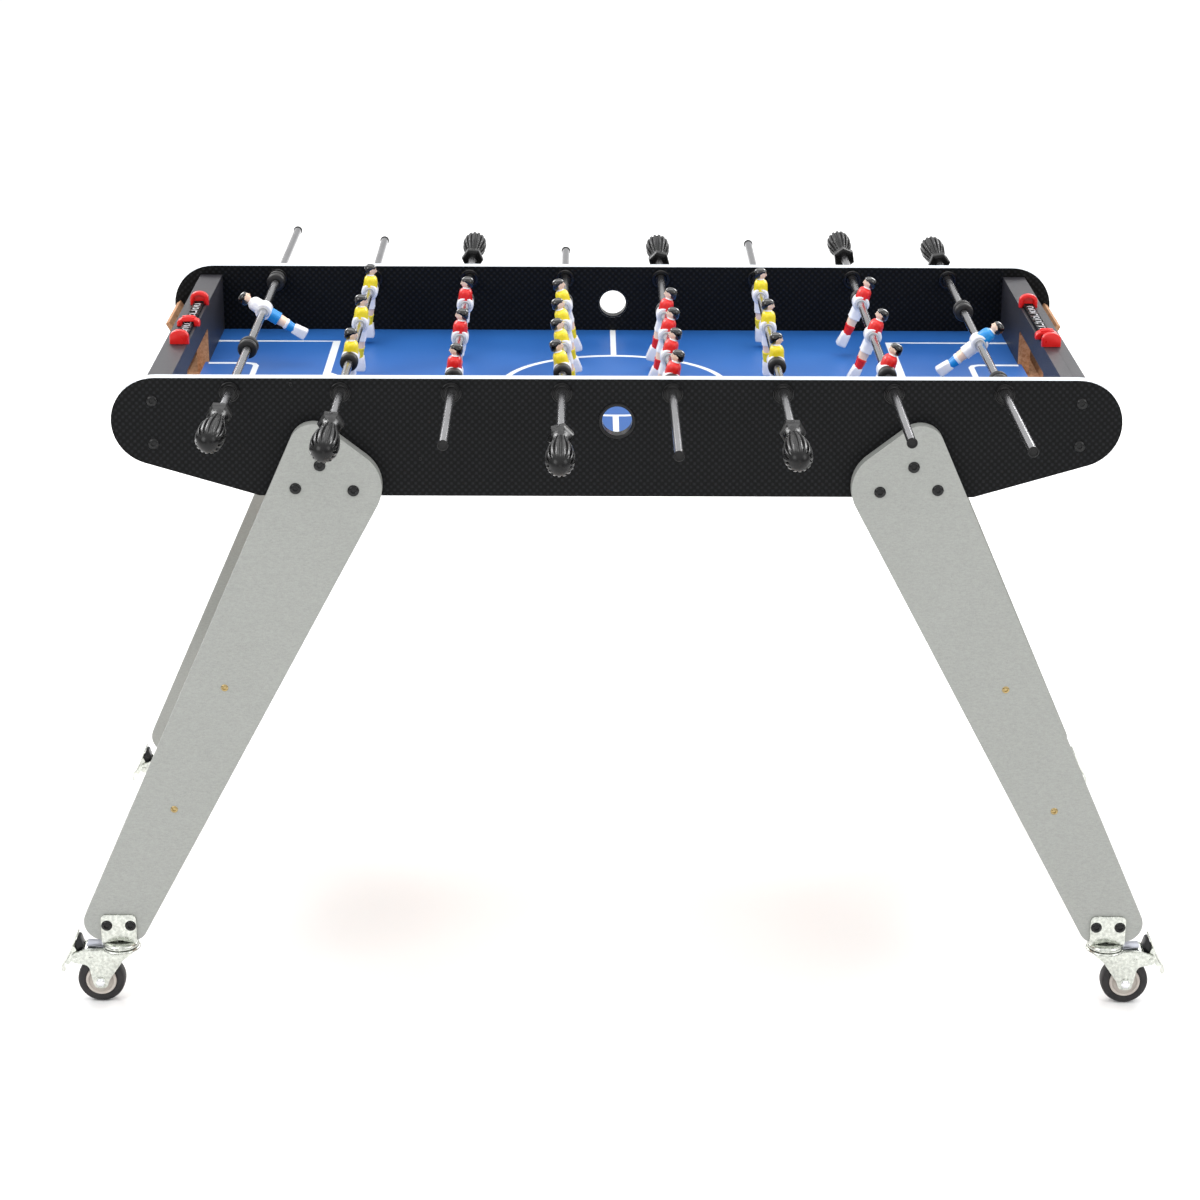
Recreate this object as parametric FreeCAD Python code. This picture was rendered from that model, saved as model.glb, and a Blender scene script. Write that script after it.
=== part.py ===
import FreeCAD, Part
import math
import os

# Foosball table, millimetres.  X runs along the table, Y from the front side to the rear side,
# Z up.  The origin is on the floor, under the middle of the playfield.

V = FreeCAD.Vector
X_AXIS = V(1, 0, 0)
Y_AXIS = V(0, 1, 0)
Z_AXIS = V(0, 0, 1)

# ---- cabinet ----
TOP_Z = 818.0              # top edge of the side panels
PANEL_LENGTH = 1210.0
PANEL_HEIGHT = 146.0
PANEL_T = 16.0
FIELD_WIDTH = 568.0        # between the side panels
NOSE_R = 54.0              # rounded panel ends
BELLY_SLOPE = 16.5         # degrees, underside of the panel ends
FIELD_Z = 728.5            # playing surface
FIELD_HALF_LENGTH = 538.0
FIELD_T = 5.0
END_T = 16.0
END_TOP_Z = TOP_Z - 12.5
END_BATTEN_T = 14.0
END_BATTEN_H = 20.0
GOAL_HALF_WIDTH = 108.0
GOAL_TOP_Z = FIELD_Z + 46.0
GOAL_SILL_Z = FIELD_Z - 14.0
GOAL_CORNER_R = 6.0
GOAL_END_FOOT = 38.0       # lower edge of the end boards above that of the side panels
TROUGH_T = 6.0
TROUGH_LOW = (566.0, 715.0)        # inner face of the sloping board, at its foot
TROUGH_HIGH = (596.5, 769.0)       # and at its top
TROUGH_CUT_HALF = 163.0
TROUGH_CUT_Z = 742.0
TROUGH_FLOOR_Z = GOAL_SILL_Z + 0.5
CLEAT = 16.0
BATTEN_W = 44.0
BATTEN_POSITIONS = (-360.0, 0.0, 360.0)
BALL_HOLE_Z = TOP_Z - 51.5
BALL_CUP_R = 22.0
BALL_CUP_BORE_R = 18.0
BALL_CUP_BODY_R = 20.0
BALL_CUP_FLANGE_T = 2.0

# ---- rods ----
ROD_PITCH = 132.0
ROD_Z = 801.0
ROD_R = 5.3
ROD_WALL = 1.2
BEARING_FLANGE_R = 12.8
BEARING_BODY_R = 9.9
BEARING_LIP = 3.0
SLEEVE_R = 7.4
SLEEVE_LIP = 1.5
RUN_FIT = 0.05             # radial clearance of everything that turns or slides
GRIP_START = 448.0         # collar face of the handle from the middle of the men
# How much further out each handle sits on its rod; they are pressed on to unequal depths.
GRIP_SHIFT = {1: 45.0, 2: 15.0, 3: -14.0, 4: 0.0, 5: 12.0, 6: 28.0, 7: -14.0, 8: -14.0}
GRIP_LENGTH = 128.0
GRIP_SOCKET = 24.0
PLAIN_END = 482.5
CAP_T = 1.5
CAP_R = 6.3
CAP_PLUG = 10.0
BUMPER_R = 11.2
BUMPER_T = 16.0
BUMPER_GAP = 2.0
KEEPER_BUMPER_R = 12.5
KEEPER_BUMPER_T = 26.0
KEEPER_STOPS = {1: (-193.0, 164.0), 8: (-164.0, 193.0)}   # middles of the keepers' bumpers

# Handle profile: (distance from the collar face, radius).
GRIP_PROFILE = ((0.0, 12.0), (2.0, 14.8), (14.0, 14.8), (20.0, 11.2), (30.0, 9.6), (50.0, 12.2),
                (68.0, 15.2), (92.0, 16.8), (110.0, 16.0), (122.0, 10.9))
GRIP_COLLAR_POINTS = 4

# ---- men ----
MAN_HALF_WIDTH = 12.0
HUB_R = 10.0
FOOT_DROP = 64.0
FOOT_LENGTH = 14.0
FOOT_HEIGHT = 16.0
FOOT_WIDTH = 16.0
LEG_TOP = 10.0
LEG_DEPTH = 11.0
TORSO_TOP = 21.5
TORSO_DEPTH = 15.0
TORSO_ROUNDING = 5.0
NECK_R = 4.4
NECK_OVERLAP = 2.0
HEAD_R = 7.5
HEAD_Z = 29.5
THREE_MEN = (-174.0, 0.0, 174.0)
FOUR_MEN = (-159.0, -53.0, 53.0, 159.0)
ONE_MAN = (0.0,)

# Each rod: the men on it, the side of its handle (-1 front, +1 rear), how far it is pushed
# along +Y, the tilt of the men in degrees (feet swing towards -X when positive), the way they face.
RODS = {
    1: (ONE_MAN, -1, 101.0, -57.0, 1),
    2: (THREE_MEN, -1, 36.0, 3.0, 1),
    3: (THREE_MEN, 1, -36.0, 5.0, -1),
    4: (FOUR_MEN, -1, -28.0, -15.0, 1),
    5: (FOUR_MEN, 1, -75.0, 15.0, -1),
    6: (THREE_MEN, -1, 20.0, 0.0, 1),
    7: (THREE_MEN, 1, -22.0, 22.0, -1),
    8: (ONE_MAN, 1, -55.0, 50.0, -1),
}

# ---- legs ----
LEG_T = 16.0
LEG_CORNERS = ((374.4, 782.5), (268.4, 699.5), (597.6, 85.5), (683.5, 85.5))
LEG_CORNER_RADII = (29.0, 48.0, 18.0, 25.0)
LEG_BOLTS = ((355.6, 714.5), (385.4, 685.7), (316.0, 683.2))
CROSS_BOLTS = ((480.0, 429.0), (549.0, 266.3))
CROSS_T = 16.0
CROSS_OVERHANG = 34.0

# ---- casters ----
CASTER_X = 626.0
CASTER_BOLT_GAP = 30.0
CASTER_BOLT_Z = 107.0
PLATE_W = 45.0
PLATE_TOP_Z = 122.0
PLATE_BOTTOM_Z = 83.0
PLATE_T = 2.5
PLATE_DEPTH = 42.0
WHEEL_R = 30.0
WHEEL_W = 20.0
TYRE_SHOULDER = 3.0
CORE_W = 23.0
CORE_R = 19.5
TRAIL = 26.0
AXLE_R = 4.0
RACE_R = 23.5
RACE_T = 6.1
RACE_SLOPE = 3.0
KING_R = 4.0
KING_REACH = 2.0           # the king pin's end below the fork's top plate
FORK_TOP_Z = 76.2
FORK_T = 2.5
FORK_GAP = 25.0
FORK_TOP_R = 25.0
AXLE_NUT_R = 6.5
AXLE_NUT_H = 4.0
CHEEK_AXLE_R = 10.0
BRAKE_U = 57.0             # brake pivot, outwards from the swivel axis
BRAKE_Z = 63.0
BRAKE_PIN_R = 2.5
SHELF_END = 47.0           # outer end of the fork's top, short of the pedal

# Outlines in the upright plane of the wheel: (outwards from the swivel axis, height).
CHEEK_OUTLINE = ((-20.0, 74.7), (48.0, 74.7), (62.0, 68.0), (62.0, 58.0), (37.0, 51.0),
                 (36.0, 30.0), (26.0, 20.0), (16.0, 30.0))
PEDAL_OUTLINE = ((53.5, 93.0), (59.7, 80.0), (65.5, 66.0), (72.5, 55.0), (77.0, 46.5), (75.0, 39.0))
TAB_OUTLINE = ((52.0, 66.0), (60.0, 76.0), (64.5, 64.0), (57.0, 58.0))
PEDAL_T = 2.0
PEDAL_HALF = 10.0
TAB_R = 5.0

# ---- score counters ----
SCORE_X = 548.0
SCORE_HALF = 98.0
SCORE_MIDDLE = 10.0
SCORE_W = 24.0
RAIL_W = 12.0
RAIL_H = 6.0
BRACKET_T = 8.0
BRACKET_H = 18.0
SLIDER_T = 12.0
SLIDER_W = 29.0
SLIDER_FIT = 0.3
SLIDER_TOP = 5.0           # top of the slider below that of the brackets
SLIDER_Y = {-1: -1.0, 1: -54.0}

# ---- bolts ----
BOLT_HEAD_R = 7.0
BOLT_HEAD_H = 3.0
BOLT_SHANK_R = 3.0
BOLT_LENGTH = 30.0
PANEL_BOLTS = ((555.0, 789.5), (555.0, 736.5))
BRASS_HEAD_R = 4.6
BRASS_HEAD_H = 1.2
BRASS_LENGTH = 31.0

THROUGH = 1.0              # how far a cutter runs past the face it opens

HALF_L = PANEL_LENGTH / 2
INNER_Y = FIELD_WIDTH / 2
OUTER_Y = INNER_Y + PANEL_T
LEG_Y = OUTER_Y + LEG_T
PANEL_BOTTOM = TOP_Z - PANEL_HEIGHT


def rod_x(k):
    return (k - 4.5) * ROD_PITCH


def box(x0, x1, y0, y1, z0, z1):
    return Part.makeBox(x1 - x0, y1 - y0, z1 - z0, V(x0, y0, z0))


def rod_y(radius, x, z, y0, y1):
    return Part.makeCylinder(radius, y1 - y0, V(x, y0, z), Y_AXIS)


def ring_y(outer, inner, x, z, y0, y1):
    return rod_y(outer, x, z, y0, y1).cut(rod_y(inner, x, z, y0 - THROUGH, y1 + THROUGH))


def mirror_x(shape):
    return shape.mirror(V(0, 0, 0), X_AXIS)


def mirror_y(shape):
    return shape.mirror(V(0, 0, 0), Y_AXIS)


def rounded_outline(corners, radii):
    """Closed wire in the XZ plane through the corners, each rounded by its radius."""
    edges = []
    starts = []
    ends = []
    count = len(corners)
    for i in range(count):
        p = V(corners[i][0], 0, corners[i][1])
        before = V(corners[i - 1][0], 0, corners[i - 1][1])
        after = V(corners[(i + 1) % count][0], 0, corners[(i + 1) % count][1])
        to_before = (before - p).normalize()
        to_after = (after - p).normalize()
        half = to_before.getAngle(to_after) / 2
        reach = radii[i] / math.tan(half)
        start = p + to_before * reach
        end = p + to_after * reach
        bisector = (to_before + to_after).normalize()
        middle = p + bisector * (radii[i] / math.sin(half) - radii[i])
        edges.append(Part.Arc(start, middle, end).toShape())
        starts.append(start)
        ends.append(end)
    for i in range(count):
        edges.append(Part.LineSegment(ends[i], starts[(i + 1) % count]).toShape())
    return Part.Wire(Part.__sortEdges__(edges))


def plate_xz(wire, y0, y1):
    """Board of the wire's outline between two Y values."""
    solid = Part.Face(wire).extrude(V(0, y1 - y0, 0))
    solid.translate(V(0, y0, 0))
    return solid


# ---------------------------------------------------------------- cabinet

def side_panel_wire():
    """Flat top, round noses, belly rising towards both ends."""
    centre_x = HALF_L - NOSE_R
    centre_z = TOP_Z - NOSE_R
    slope = math.radians(BELLY_SLOPE)
    tangent = (centre_x + NOSE_R * math.sin(slope), centre_z - NOSE_R * math.cos(slope))
    flat_end = tangent[0] - (tangent[1] - PANEL_BOTTOM) / math.tan(slope)
    edges = []
    for side in (-1, 1):
        top = V(side * centre_x, 0, TOP_Z)
        nose = V(side * HALF_L, 0, centre_z)
        low = V(side * tangent[0], 0, tangent[1])
        flat = V(side * flat_end, 0, PANEL_BOTTOM)
        mid_top = V(side * (centre_x + NOSE_R * math.sin(math.pi / 4)), 0,
                    centre_z + NOSE_R * math.cos(math.pi / 4))
        angle = (math.pi / 2 - slope) / 2
        mid_low = V(side * (centre_x + NOSE_R * math.cos(angle)), 0,
                    centre_z - NOSE_R * math.sin(angle))
        edges.append(Part.Arc(top, mid_top, nose).toShape())
        edges.append(Part.Arc(nose, mid_low, low).toShape())
        edges.append(Part.LineSegment(low, flat).toShape())
    edges.append(Part.LineSegment(V(-centre_x, 0, TOP_Z), V(centre_x, 0, TOP_Z)).toShape())
    edges.append(Part.LineSegment(V(-flat_end, 0, PANEL_BOTTOM),
                                  V(flat_end, 0, PANEL_BOTTOM)).toShape())
    return Part.Wire(Part.__sortEdges__(edges))


def side_panel(side):
    """Panel on the front (-1) or rear (+1), bored for the rods, the ball cup and the bolts."""
    y0, y1 = sorted((side * INNER_Y, side * OUTER_Y))
    panel = plate_xz(side_panel_wire(), y0, y1)
    for k in RODS:
        panel = panel.cut(rod_y(BEARING_BODY_R, rod_x(k), ROD_Z, y0 - THROUGH, y1 + THROUGH))
    panel = panel.cut(rod_y(BALL_CUP_BODY_R, 0, BALL_HOLE_Z, y0 - THROUGH, y1 + THROUGH))
    for x, z in PANEL_BOLTS + LEG_BOLTS:
        for end in (-1, 1):
            panel = panel.cut(rod_y(BOLT_SHANK_R, end * x, z, y0 - THROUGH, y1 + THROUGH))
    return panel


def goal_opening(y_half, z0, z1):
    """Cutter through the end panel, its upper corners rounded."""
    opening = box(FIELD_HALF_LENGTH - THROUGH, FIELD_HALF_LENGTH + END_T + THROUGH,
                  -y_half, y_half, z0, z1)
    upper = [e for e in opening.Edges if e.BoundBox.ZMin > z1 - THROUGH]
    corners = [e for e in upper if e.BoundBox.XLength > END_T]
    return opening.makeFillet(GOAL_CORNER_R, corners)


def end_panel(side):
    """Goal end: board with the goal opening, and the batten behind its top edge."""
    x0 = FIELD_HALF_LENGTH
    x1 = x0 + END_T
    board = box(x0, x1, -INNER_Y, INNER_Y, PANEL_BOTTOM + GOAL_END_FOOT,
                END_TOP_Z)
    board = board.cut(goal_opening(GOAL_HALF_WIDTH, GOAL_SILL_Z, GOAL_TOP_Z))
    batten = box(x1, x1 + END_BATTEN_T, -INNER_Y, INNER_Y, END_TOP_Z - END_BATTEN_H, END_TOP_Z)
    for x, z in PANEL_BOLTS:
        for end in (-1, 1):
            hole = rod_y(BOLT_SHANK_R, x, z, *sorted((end * INNER_Y, end * (OUTER_Y - BOLT_LENGTH))))
            board = board.cut(hole)
            batten = batten.cut(hole)
    return [s if side > 0 else mirror_x(s) for s in (board, batten)]


def playfield():
    """Thin printed board that reaches into both goal openings."""
    board = box(-FIELD_HALF_LENGTH, FIELD_HALF_LENGTH, -INNER_Y, INNER_Y,
                FIELD_Z - FIELD_T, FIELD_Z)
    lip = GOAL_HALF_WIDTH
    return board.fuse(box(-FIELD_HALF_LENGTH - FIELD_T, FIELD_HALF_LENGTH + FIELD_T, -lip, lip,
                          FIELD_Z - FIELD_T, FIELD_Z)).removeSplitter()


def goal_trough(side):
    """Floor strip and sloping outer board that catch the ball behind a goal."""
    run = V(TROUGH_HIGH[0] - TROUGH_LOW[0], 0, TROUGH_HIGH[1] - TROUGH_LOW[1]).normalize()
    out = V(run.z, 0, -run.x) * TROUGH_T
    low = V(TROUGH_LOW[0], 0, TROUGH_LOW[1])
    high = V(TROUGH_HIGH[0], 0, TROUGH_HIGH[1])
    wire = Part.makePolygon([low, high, high + out, low + out, low])
    board = plate_xz(wire, -INNER_Y, INNER_Y)
    board = board.cut(box(low.x, high.x + 2 * TROUGH_T, -TROUGH_CUT_HALF, TROUGH_CUT_HALF,
                          TROUGH_CUT_Z, TOP_Z))
    floor = box(FIELD_HALF_LENGTH + END_T, low.x, -INNER_Y, INNER_Y,
                TROUGH_FLOOR_Z - TROUGH_T, TROUGH_FLOOR_Z)
    solids = [board, floor]
    return [s if side > 0 else mirror_x(s) for s in solids]


def inner_boards():
    """Raw boards inside: cleats and battens under the playfield, and both goal troughs."""
    solids = []
    under = FIELD_Z - FIELD_T
    for side in (-1, 1):
        y0, y1 = sorted((side * INNER_Y, side * (INNER_Y - CLEAT)))
        solids.append(box(-FIELD_HALF_LENGTH, FIELD_HALF_LENGTH, y0, y1, under - CLEAT, under))
        solids += goal_trough(side)
    reach = INNER_Y - CLEAT
    for x in BATTEN_POSITIONS:
        solids.append(box(x - BATTEN_W / 2, x + BATTEN_W / 2, -reach, reach, under - CLEAT, under))
    return solids


def ball_cup(side):
    """Moulded entry hole: flange outside, short tube through the panel."""
    outer = side * OUTER_Y
    inner = side * INNER_Y
    face = outer + side * BALL_CUP_FLANGE_T
    flange = ring_y(BALL_CUP_R, BALL_CUP_BORE_R, 0, BALL_HOLE_Z, *sorted((outer, face)))
    tube = ring_y(BALL_CUP_BODY_R - RUN_FIT, BALL_CUP_BORE_R, 0, BALL_HOLE_Z,
                  *sorted((outer, inner)))
    return flange.fuse(tube).removeSplitter()


# ---------------------------------------------------------------- rods

def bearing_housing(k, side):
    """Flanged bush pressed in the panel, with the nut inside."""
    outer = side * OUTER_Y
    inner = side * INNER_Y
    x = rod_x(k)
    bore = SLEEVE_R + RUN_FIT
    shape = ring_y(BEARING_BODY_R - RUN_FIT, bore, x, ROD_Z, *sorted((outer, inner)))
    shape = shape.fuse(ring_y(BEARING_FLANGE_R, bore, x, ROD_Z,
                              *sorted((outer, outer + side * BEARING_LIP))))
    shape = shape.fuse(ring_y(BEARING_FLANGE_R, bore, x, ROD_Z,
                              *sorted((inner, inner - side * BEARING_LIP))))
    return shape.removeSplitter()


def bearing_sleeves(k):
    """The pair of inserts that turn with the rod, one in each panel."""
    reach = BEARING_LIP + SLEEVE_LIP
    return [ring_y(SLEEVE_R, ROD_R + RUN_FIT, rod_x(k), ROD_Z,
                   *sorted((side * (INNER_Y - reach), side * (OUTER_Y + reach))))
            for side in (-1, 1)]


def place_on_rod(shape, k):
    """Move a shape made at the origin, handle towards -Y and men upright, to rod k."""
    men, side, push, tilt, facing = RODS[k]
    placed = shape.copy()
    if side > 0:
        placed = mirror_y(placed)
    placed.rotate(V(0, 0, 0), Y_AXIS, tilt)
    placed.translate(V(rod_x(k), push, ROD_Z))
    return placed


def rod_bar(k):
    end = -GRIP_START - GRIP_SHIFT[k] - GRIP_SOCKET
    tube = rod_y(ROD_R, 0, 0, end, PLAIN_END)
    return tube.cut(rod_y(ROD_R - ROD_WALL, 0, 0, end - THROUGH, PLAIN_END + THROUGH))


def handle(k):
    """Turned grip: collar, waist and rounded bulb, with a blind socket for the rod."""
    face = -GRIP_START - GRIP_SHIFT[k]
    collar = GRIP_PROFILE[:GRIP_COLLAR_POINTS]
    bulb = GRIP_PROFILE[GRIP_COLLAR_POINTS - 1:]
    points = [V(r, face - d, 0) for d, r in collar]
    edges = [Part.makeLine(V(0, face, 0), points[0])]
    edges += [Part.makeLine(a, b) for a, b in zip(points, points[1:])]
    curve = Part.BSplineCurve()
    tip = V(0, face - GRIP_LENGTH, 0)
    through = [V(r, face - d, 0) for d, r in bulb] + [tip]
    curve.interpolate(through, False)
    edges.append(curve.toShape())
    edges.append(Part.makeLine(tip, V(0, face, 0)))
    body = Part.Face(Part.Wire(edges)).revolve(V(0, 0, 0), Y_AXIS, 360)
    solid = Part.makeSolid(body.Shells[0]) if body.ShapeType != "Solid" else body
    socket = rod_y(ROD_R + RUN_FIT, 0, 0, face - GRIP_SOCKET, face + THROUGH)
    return solid.cut(socket)


def end_cap():
    """Plastic plug in the plain end of the rod, with a thin rim."""
    rim = rod_y(CAP_R, 0, 0, PLAIN_END, PLAIN_END + CAP_T)
    return rim.fuse(rod_y(ROD_R - ROD_WALL - RUN_FIT, 0, 0, PLAIN_END - CAP_PLUG, PLAIN_END))


def bumpers(k, men):
    """Rubber stops outside the outermost men; the keepers' stand off on the rod."""
    if k in KEEPER_STOPS:
        half, radius, middles = KEEPER_BUMPER_T / 2, KEEPER_BUMPER_R, KEEPER_STOPS[k]
    else:
        half, radius = BUMPER_T / 2, BUMPER_R
        middle = max(men) + MAN_HALF_WIDTH + BUMPER_GAP + half
        middles = (-middle, middle)
    return [ring_y(radius, ROD_R + RUN_FIT, 0, 0, m - half, m + half) for m in middles]


def man(facing):
    """One player, upright at the origin, looking along facing * X."""
    hub = rod_y(HUB_R, 0, 0, -MAN_HALF_WIDTH, MAN_HALF_WIDTH)
    torso = box(-TORSO_DEPTH / 2, TORSO_DEPTH / 2, -MAN_HALF_WIDTH, MAN_HALF_WIDTH,
                -LEG_TOP, TORSO_TOP)
    torso = torso.makeFillet(TORSO_ROUNDING,
                             [e for e in torso.Edges if e.BoundBox.ZLength > TORSO_TOP])
    legs = box(-LEG_DEPTH / 2, LEG_DEPTH / 2, -FOOT_WIDTH / 2, FOOT_WIDTH / 2,
               -FOOT_DROP + FOOT_HEIGHT / 2, -LEG_TOP + THROUGH)
    heel = -facing * LEG_DEPTH / 2
    toe = heel + facing * FOOT_LENGTH
    foot = box(*sorted((heel, toe)), -FOOT_WIDTH / 2, FOOT_WIDTH / 2,
               -FOOT_DROP, -FOOT_DROP + FOOT_HEIGHT)
    neck = Part.makeCylinder(NECK_R, HEAD_Z - TORSO_TOP + NECK_OVERLAP,
                             V(0, 0, TORSO_TOP - NECK_OVERLAP), Z_AXIS)
    head = Part.makeSphere(HEAD_R, V(0, 0, HEAD_Z))
    figure = hub.fuse([torso, legs, foot, neck, head]).removeSplitter()
    return figure.cut(rod_y(ROD_R + RUN_FIT, 0, 0, -MAN_HALF_WIDTH - THROUGH,
                            MAN_HALF_WIDTH + THROUGH))


def rod_nodes(k):
    """The four nodes of one rod."""
    men, side, push, tilt, facing = RODS[k]
    figure = man(facing)
    players = []
    for position in men:
        player = figure.copy()
        player.translate(V(0, position, 0))
        players.append(place_on_rod(player, k))
    grips = [handle(k), end_cap()] + bumpers(k, men)
    return {
        "rod_%d_sleeves" % k: bearing_sleeves(k),
        "rod_%d_bar" % k: [place_on_rod(rod_bar(k), k)],
        "rod_%d_players" % k: players,
        "rod_%d_grip_and_stops" % k: [place_on_rod(s, k) for s in grips],
    }


# ---------------------------------------------------------------- legs

def leg(end, side):
    """One slanted leg board on the outside of a side panel."""
    corners = [(end * x, z) for x, z in LEG_CORNERS]
    y0, y1 = sorted((side * OUTER_Y, side * LEG_Y))
    board = plate_xz(rounded_outline(corners, LEG_CORNER_RADII), y0, y1)
    bolts = list(LEG_BOLTS) + list(CROSS_BOLTS)
    bolts += [(CASTER_X + s * CASTER_BOLT_GAP / 2, CASTER_BOLT_Z) for s in (-1, 1)]
    for x, z in bolts:
        board = board.cut(rod_y(BOLT_SHANK_R, end * x, z, y0 - THROUGH, y1 + THROUGH))
    return board


def cross_board(end):
    """Board between the front and rear legs, lying along the slant of the legs."""
    a = V(CROSS_BOLTS[0][0], 0, CROSS_BOLTS[0][1])
    b = V(CROSS_BOLTS[1][0], 0, CROSS_BOLTS[1][1])
    run = (b - a).normalize()
    side = V(run.z, 0, -run.x) * (CROSS_T / 2)
    a = a - run * CROSS_OVERHANG
    b = b + run * CROSS_OVERHANG
    wire = Part.makePolygon([a + side, b + side, b - side, a - side, a + side])
    board = plate_xz(wire, -OUTER_Y, OUTER_Y)
    for x, z in CROSS_BOLTS:
        for y in (-1, 1):
            y0, y1 = sorted((y * OUTER_Y, y * (OUTER_Y - BOLT_LENGTH)))
            board = board.cut(rod_y(BOLT_SHANK_R, x, z, y0 - THROUGH, y1 + THROUGH))
    return board if end > 0 else mirror_x(board)


# ---------------------------------------------------------------- casters

def at_corner(shape, end, side):
    """Place a shape made at the swivel axis of the +X rear corner frame."""
    placed = shape.copy()
    if end < 0:
        placed = mirror_x(placed)
    if side < 0:
        placed = mirror_y(placed)
    placed.translate(V(end * CASTER_X, side * (OUTER_Y + LEG_T / 2), 0))
    return placed


def caster_plate():
    """Angle plate: upright flange on the leg, foot flange under it, king pin and upper race."""
    face = LEG_T / 2
    half = PLATE_W / 2
    upright = box(-half, half, face, face + PLATE_T, PLATE_BOTTOM_Z, PLATE_TOP_Z)
    foot = box(-half, half, face + PLATE_T - PLATE_DEPTH, face + PLATE_T,
               PLATE_BOTTOM_Z, PLATE_BOTTOM_Z + PLATE_T)
    shape = upright.fuse(foot)
    for s in (-1, 1):
        shape = shape.cut(rod_y(BOLT_SHANK_R, s * CASTER_BOLT_GAP / 2, CASTER_BOLT_Z,
                                face - THROUGH, face + PLATE_T + THROUGH))
    race_z = PLATE_BOTTOM_Z - RACE_T
    race = Part.makeCone(RACE_R, RACE_R - RACE_SLOPE, RACE_T, V(0, 0, race_z), Z_AXIS)
    king_z = FORK_TOP_Z - FORK_T - KING_REACH
    king = Part.makeCylinder(KING_R, PLATE_BOTTOM_Z - king_z, V(0, 0, king_z), Z_AXIS)
    return shape.fuse([race, king]).removeSplitter()


def fork():
    """Swivelling yoke: top plate, two cheeks that reach out to the brake, axle and nuts."""
    top_z = FORK_TOP_Z - FORK_T
    inner = FORK_GAP / 2
    outer = inner + FORK_T
    solids = [Part.makeCylinder(FORK_TOP_R, FORK_T, V(0, 0, top_z), Z_AXIS),
              box(0, SHELF_END, -outer, outer, top_z, FORK_TOP_Z),
              rod_y(AXLE_R, TRAIL, WHEEL_R, -outer, outer)]
    outline = [V(u, 0, z) for u, z in CHEEK_OUTLINE]
    for s in (-1, 1):
        y0, y1 = sorted((s * inner, s * outer))
        cheek = plate_xz(Part.makePolygon(outline + outline[:1]), y0, y1)
        cheek = cheek.fuse(rod_y(CHEEK_AXLE_R, TRAIL, WHEEL_R, y0, y1))
        cheek = cheek.cut(rod_y(BRAKE_PIN_R + RUN_FIT, BRAKE_U, BRAKE_Z, y0 - THROUGH, y1 + THROUGH))
        nut = rod_y(AXLE_NUT_R, TRAIL, WHEEL_R, *sorted((s * outer, s * (outer + AXLE_NUT_H))))
        solids += [cheek, nut]
    shape = solids[0].fuse(solids[1:]).removeSplitter()
    return shape.cut(Part.makeCylinder(KING_R + RUN_FIT, FORK_T + 2 * THROUGH,
                                       V(0, 0, top_z - THROUGH), Z_AXIS))


def wheel():
    """Tyre with rounded shoulders on a core, bored for the axle."""
    tyre = rod_y(WHEEL_R, TRAIL, WHEEL_R, -WHEEL_W / 2, WHEEL_W / 2)
    tyre = tyre.makeFillet(TYRE_SHOULDER, [e for e in tyre.Edges if e.Closed])
    core = rod_y(CORE_R, TRAIL, WHEEL_R, -CORE_W / 2, CORE_W / 2)
    bore = rod_y(AXLE_R + RUN_FIT, TRAIL, WHEEL_R, -CORE_W, CORE_W)
    return tyre.fuse(core).removeSplitter().cut(bore)


def brake_pedal():
    """Bent rocker plate with two tabs and the pin it rocks on."""
    offset = V(-PEDAL_T, 0, -PEDAL_T / 2)
    outer = [V(u, 0, z) for u, z in PEDAL_OUTLINE]
    inner = [p + offset for p in reversed(outer)]
    plate = plate_xz(Part.makePolygon(outer + inner + outer[:1]), -PEDAL_HALF, PEDAL_HALF)
    pin_half = FORK_GAP / 2 + FORK_T
    pin = rod_y(BRAKE_PIN_R, BRAKE_U, BRAKE_Z, -pin_half, pin_half)
    solids = [pin]
    outline = [V(u, 0, z) for u, z in TAB_OUTLINE]
    for s in (-1, 1):
        y0, y1 = sorted((s * (PEDAL_HALF - PEDAL_T), s * PEDAL_HALF))
        tab = plate_xz(Part.makePolygon(outline + outline[:1]), y0, y1)
        solids.append(tab.fuse(rod_y(TAB_R, BRAKE_U, BRAKE_Z, y0, y1)))
    return plate.fuse(solids).removeSplitter()


# ---------------------------------------------------------------- score counters

def score_rail(end):
    """Toothed rail on top of an end panel between two arched brackets."""
    x = end * SCORE_X
    low, high = SCORE_MIDDLE - SCORE_HALF, SCORE_MIDDLE + SCORE_HALF
    rail = box(x - RAIL_W / 2, x + RAIL_W / 2, low, high, END_TOP_Z, END_TOP_Z + RAIL_H)
    solids = [rail]
    for y0, y1 in ((low - BRACKET_T, low), (high, high + BRACKET_T)):
        solids.append(box(x - SCORE_W / 2, x + SCORE_W / 2, y0, y1,
                          END_TOP_Z, END_TOP_Z + BRACKET_H))
    return solids


def score_slider(end):
    """Red marker that straddles the rail."""
    x = end * SCORE_X
    y = SLIDER_Y[end]
    block = box(x - SLIDER_W / 2, x + SLIDER_W / 2, y - SLIDER_T / 2, y + SLIDER_T / 2,
                END_TOP_Z + SLIDER_FIT, END_TOP_Z + BRACKET_H - SLIDER_TOP)
    groove = box(x - RAIL_W / 2 - SLIDER_FIT, x + RAIL_W / 2 + SLIDER_FIT,
                 y - SLIDER_T, y + SLIDER_T, END_TOP_Z - THROUGH, END_TOP_Z + RAIL_H + SLIDER_FIT)
    return block.cut(groove)


# ---------------------------------------------------------------- fasteners

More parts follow.
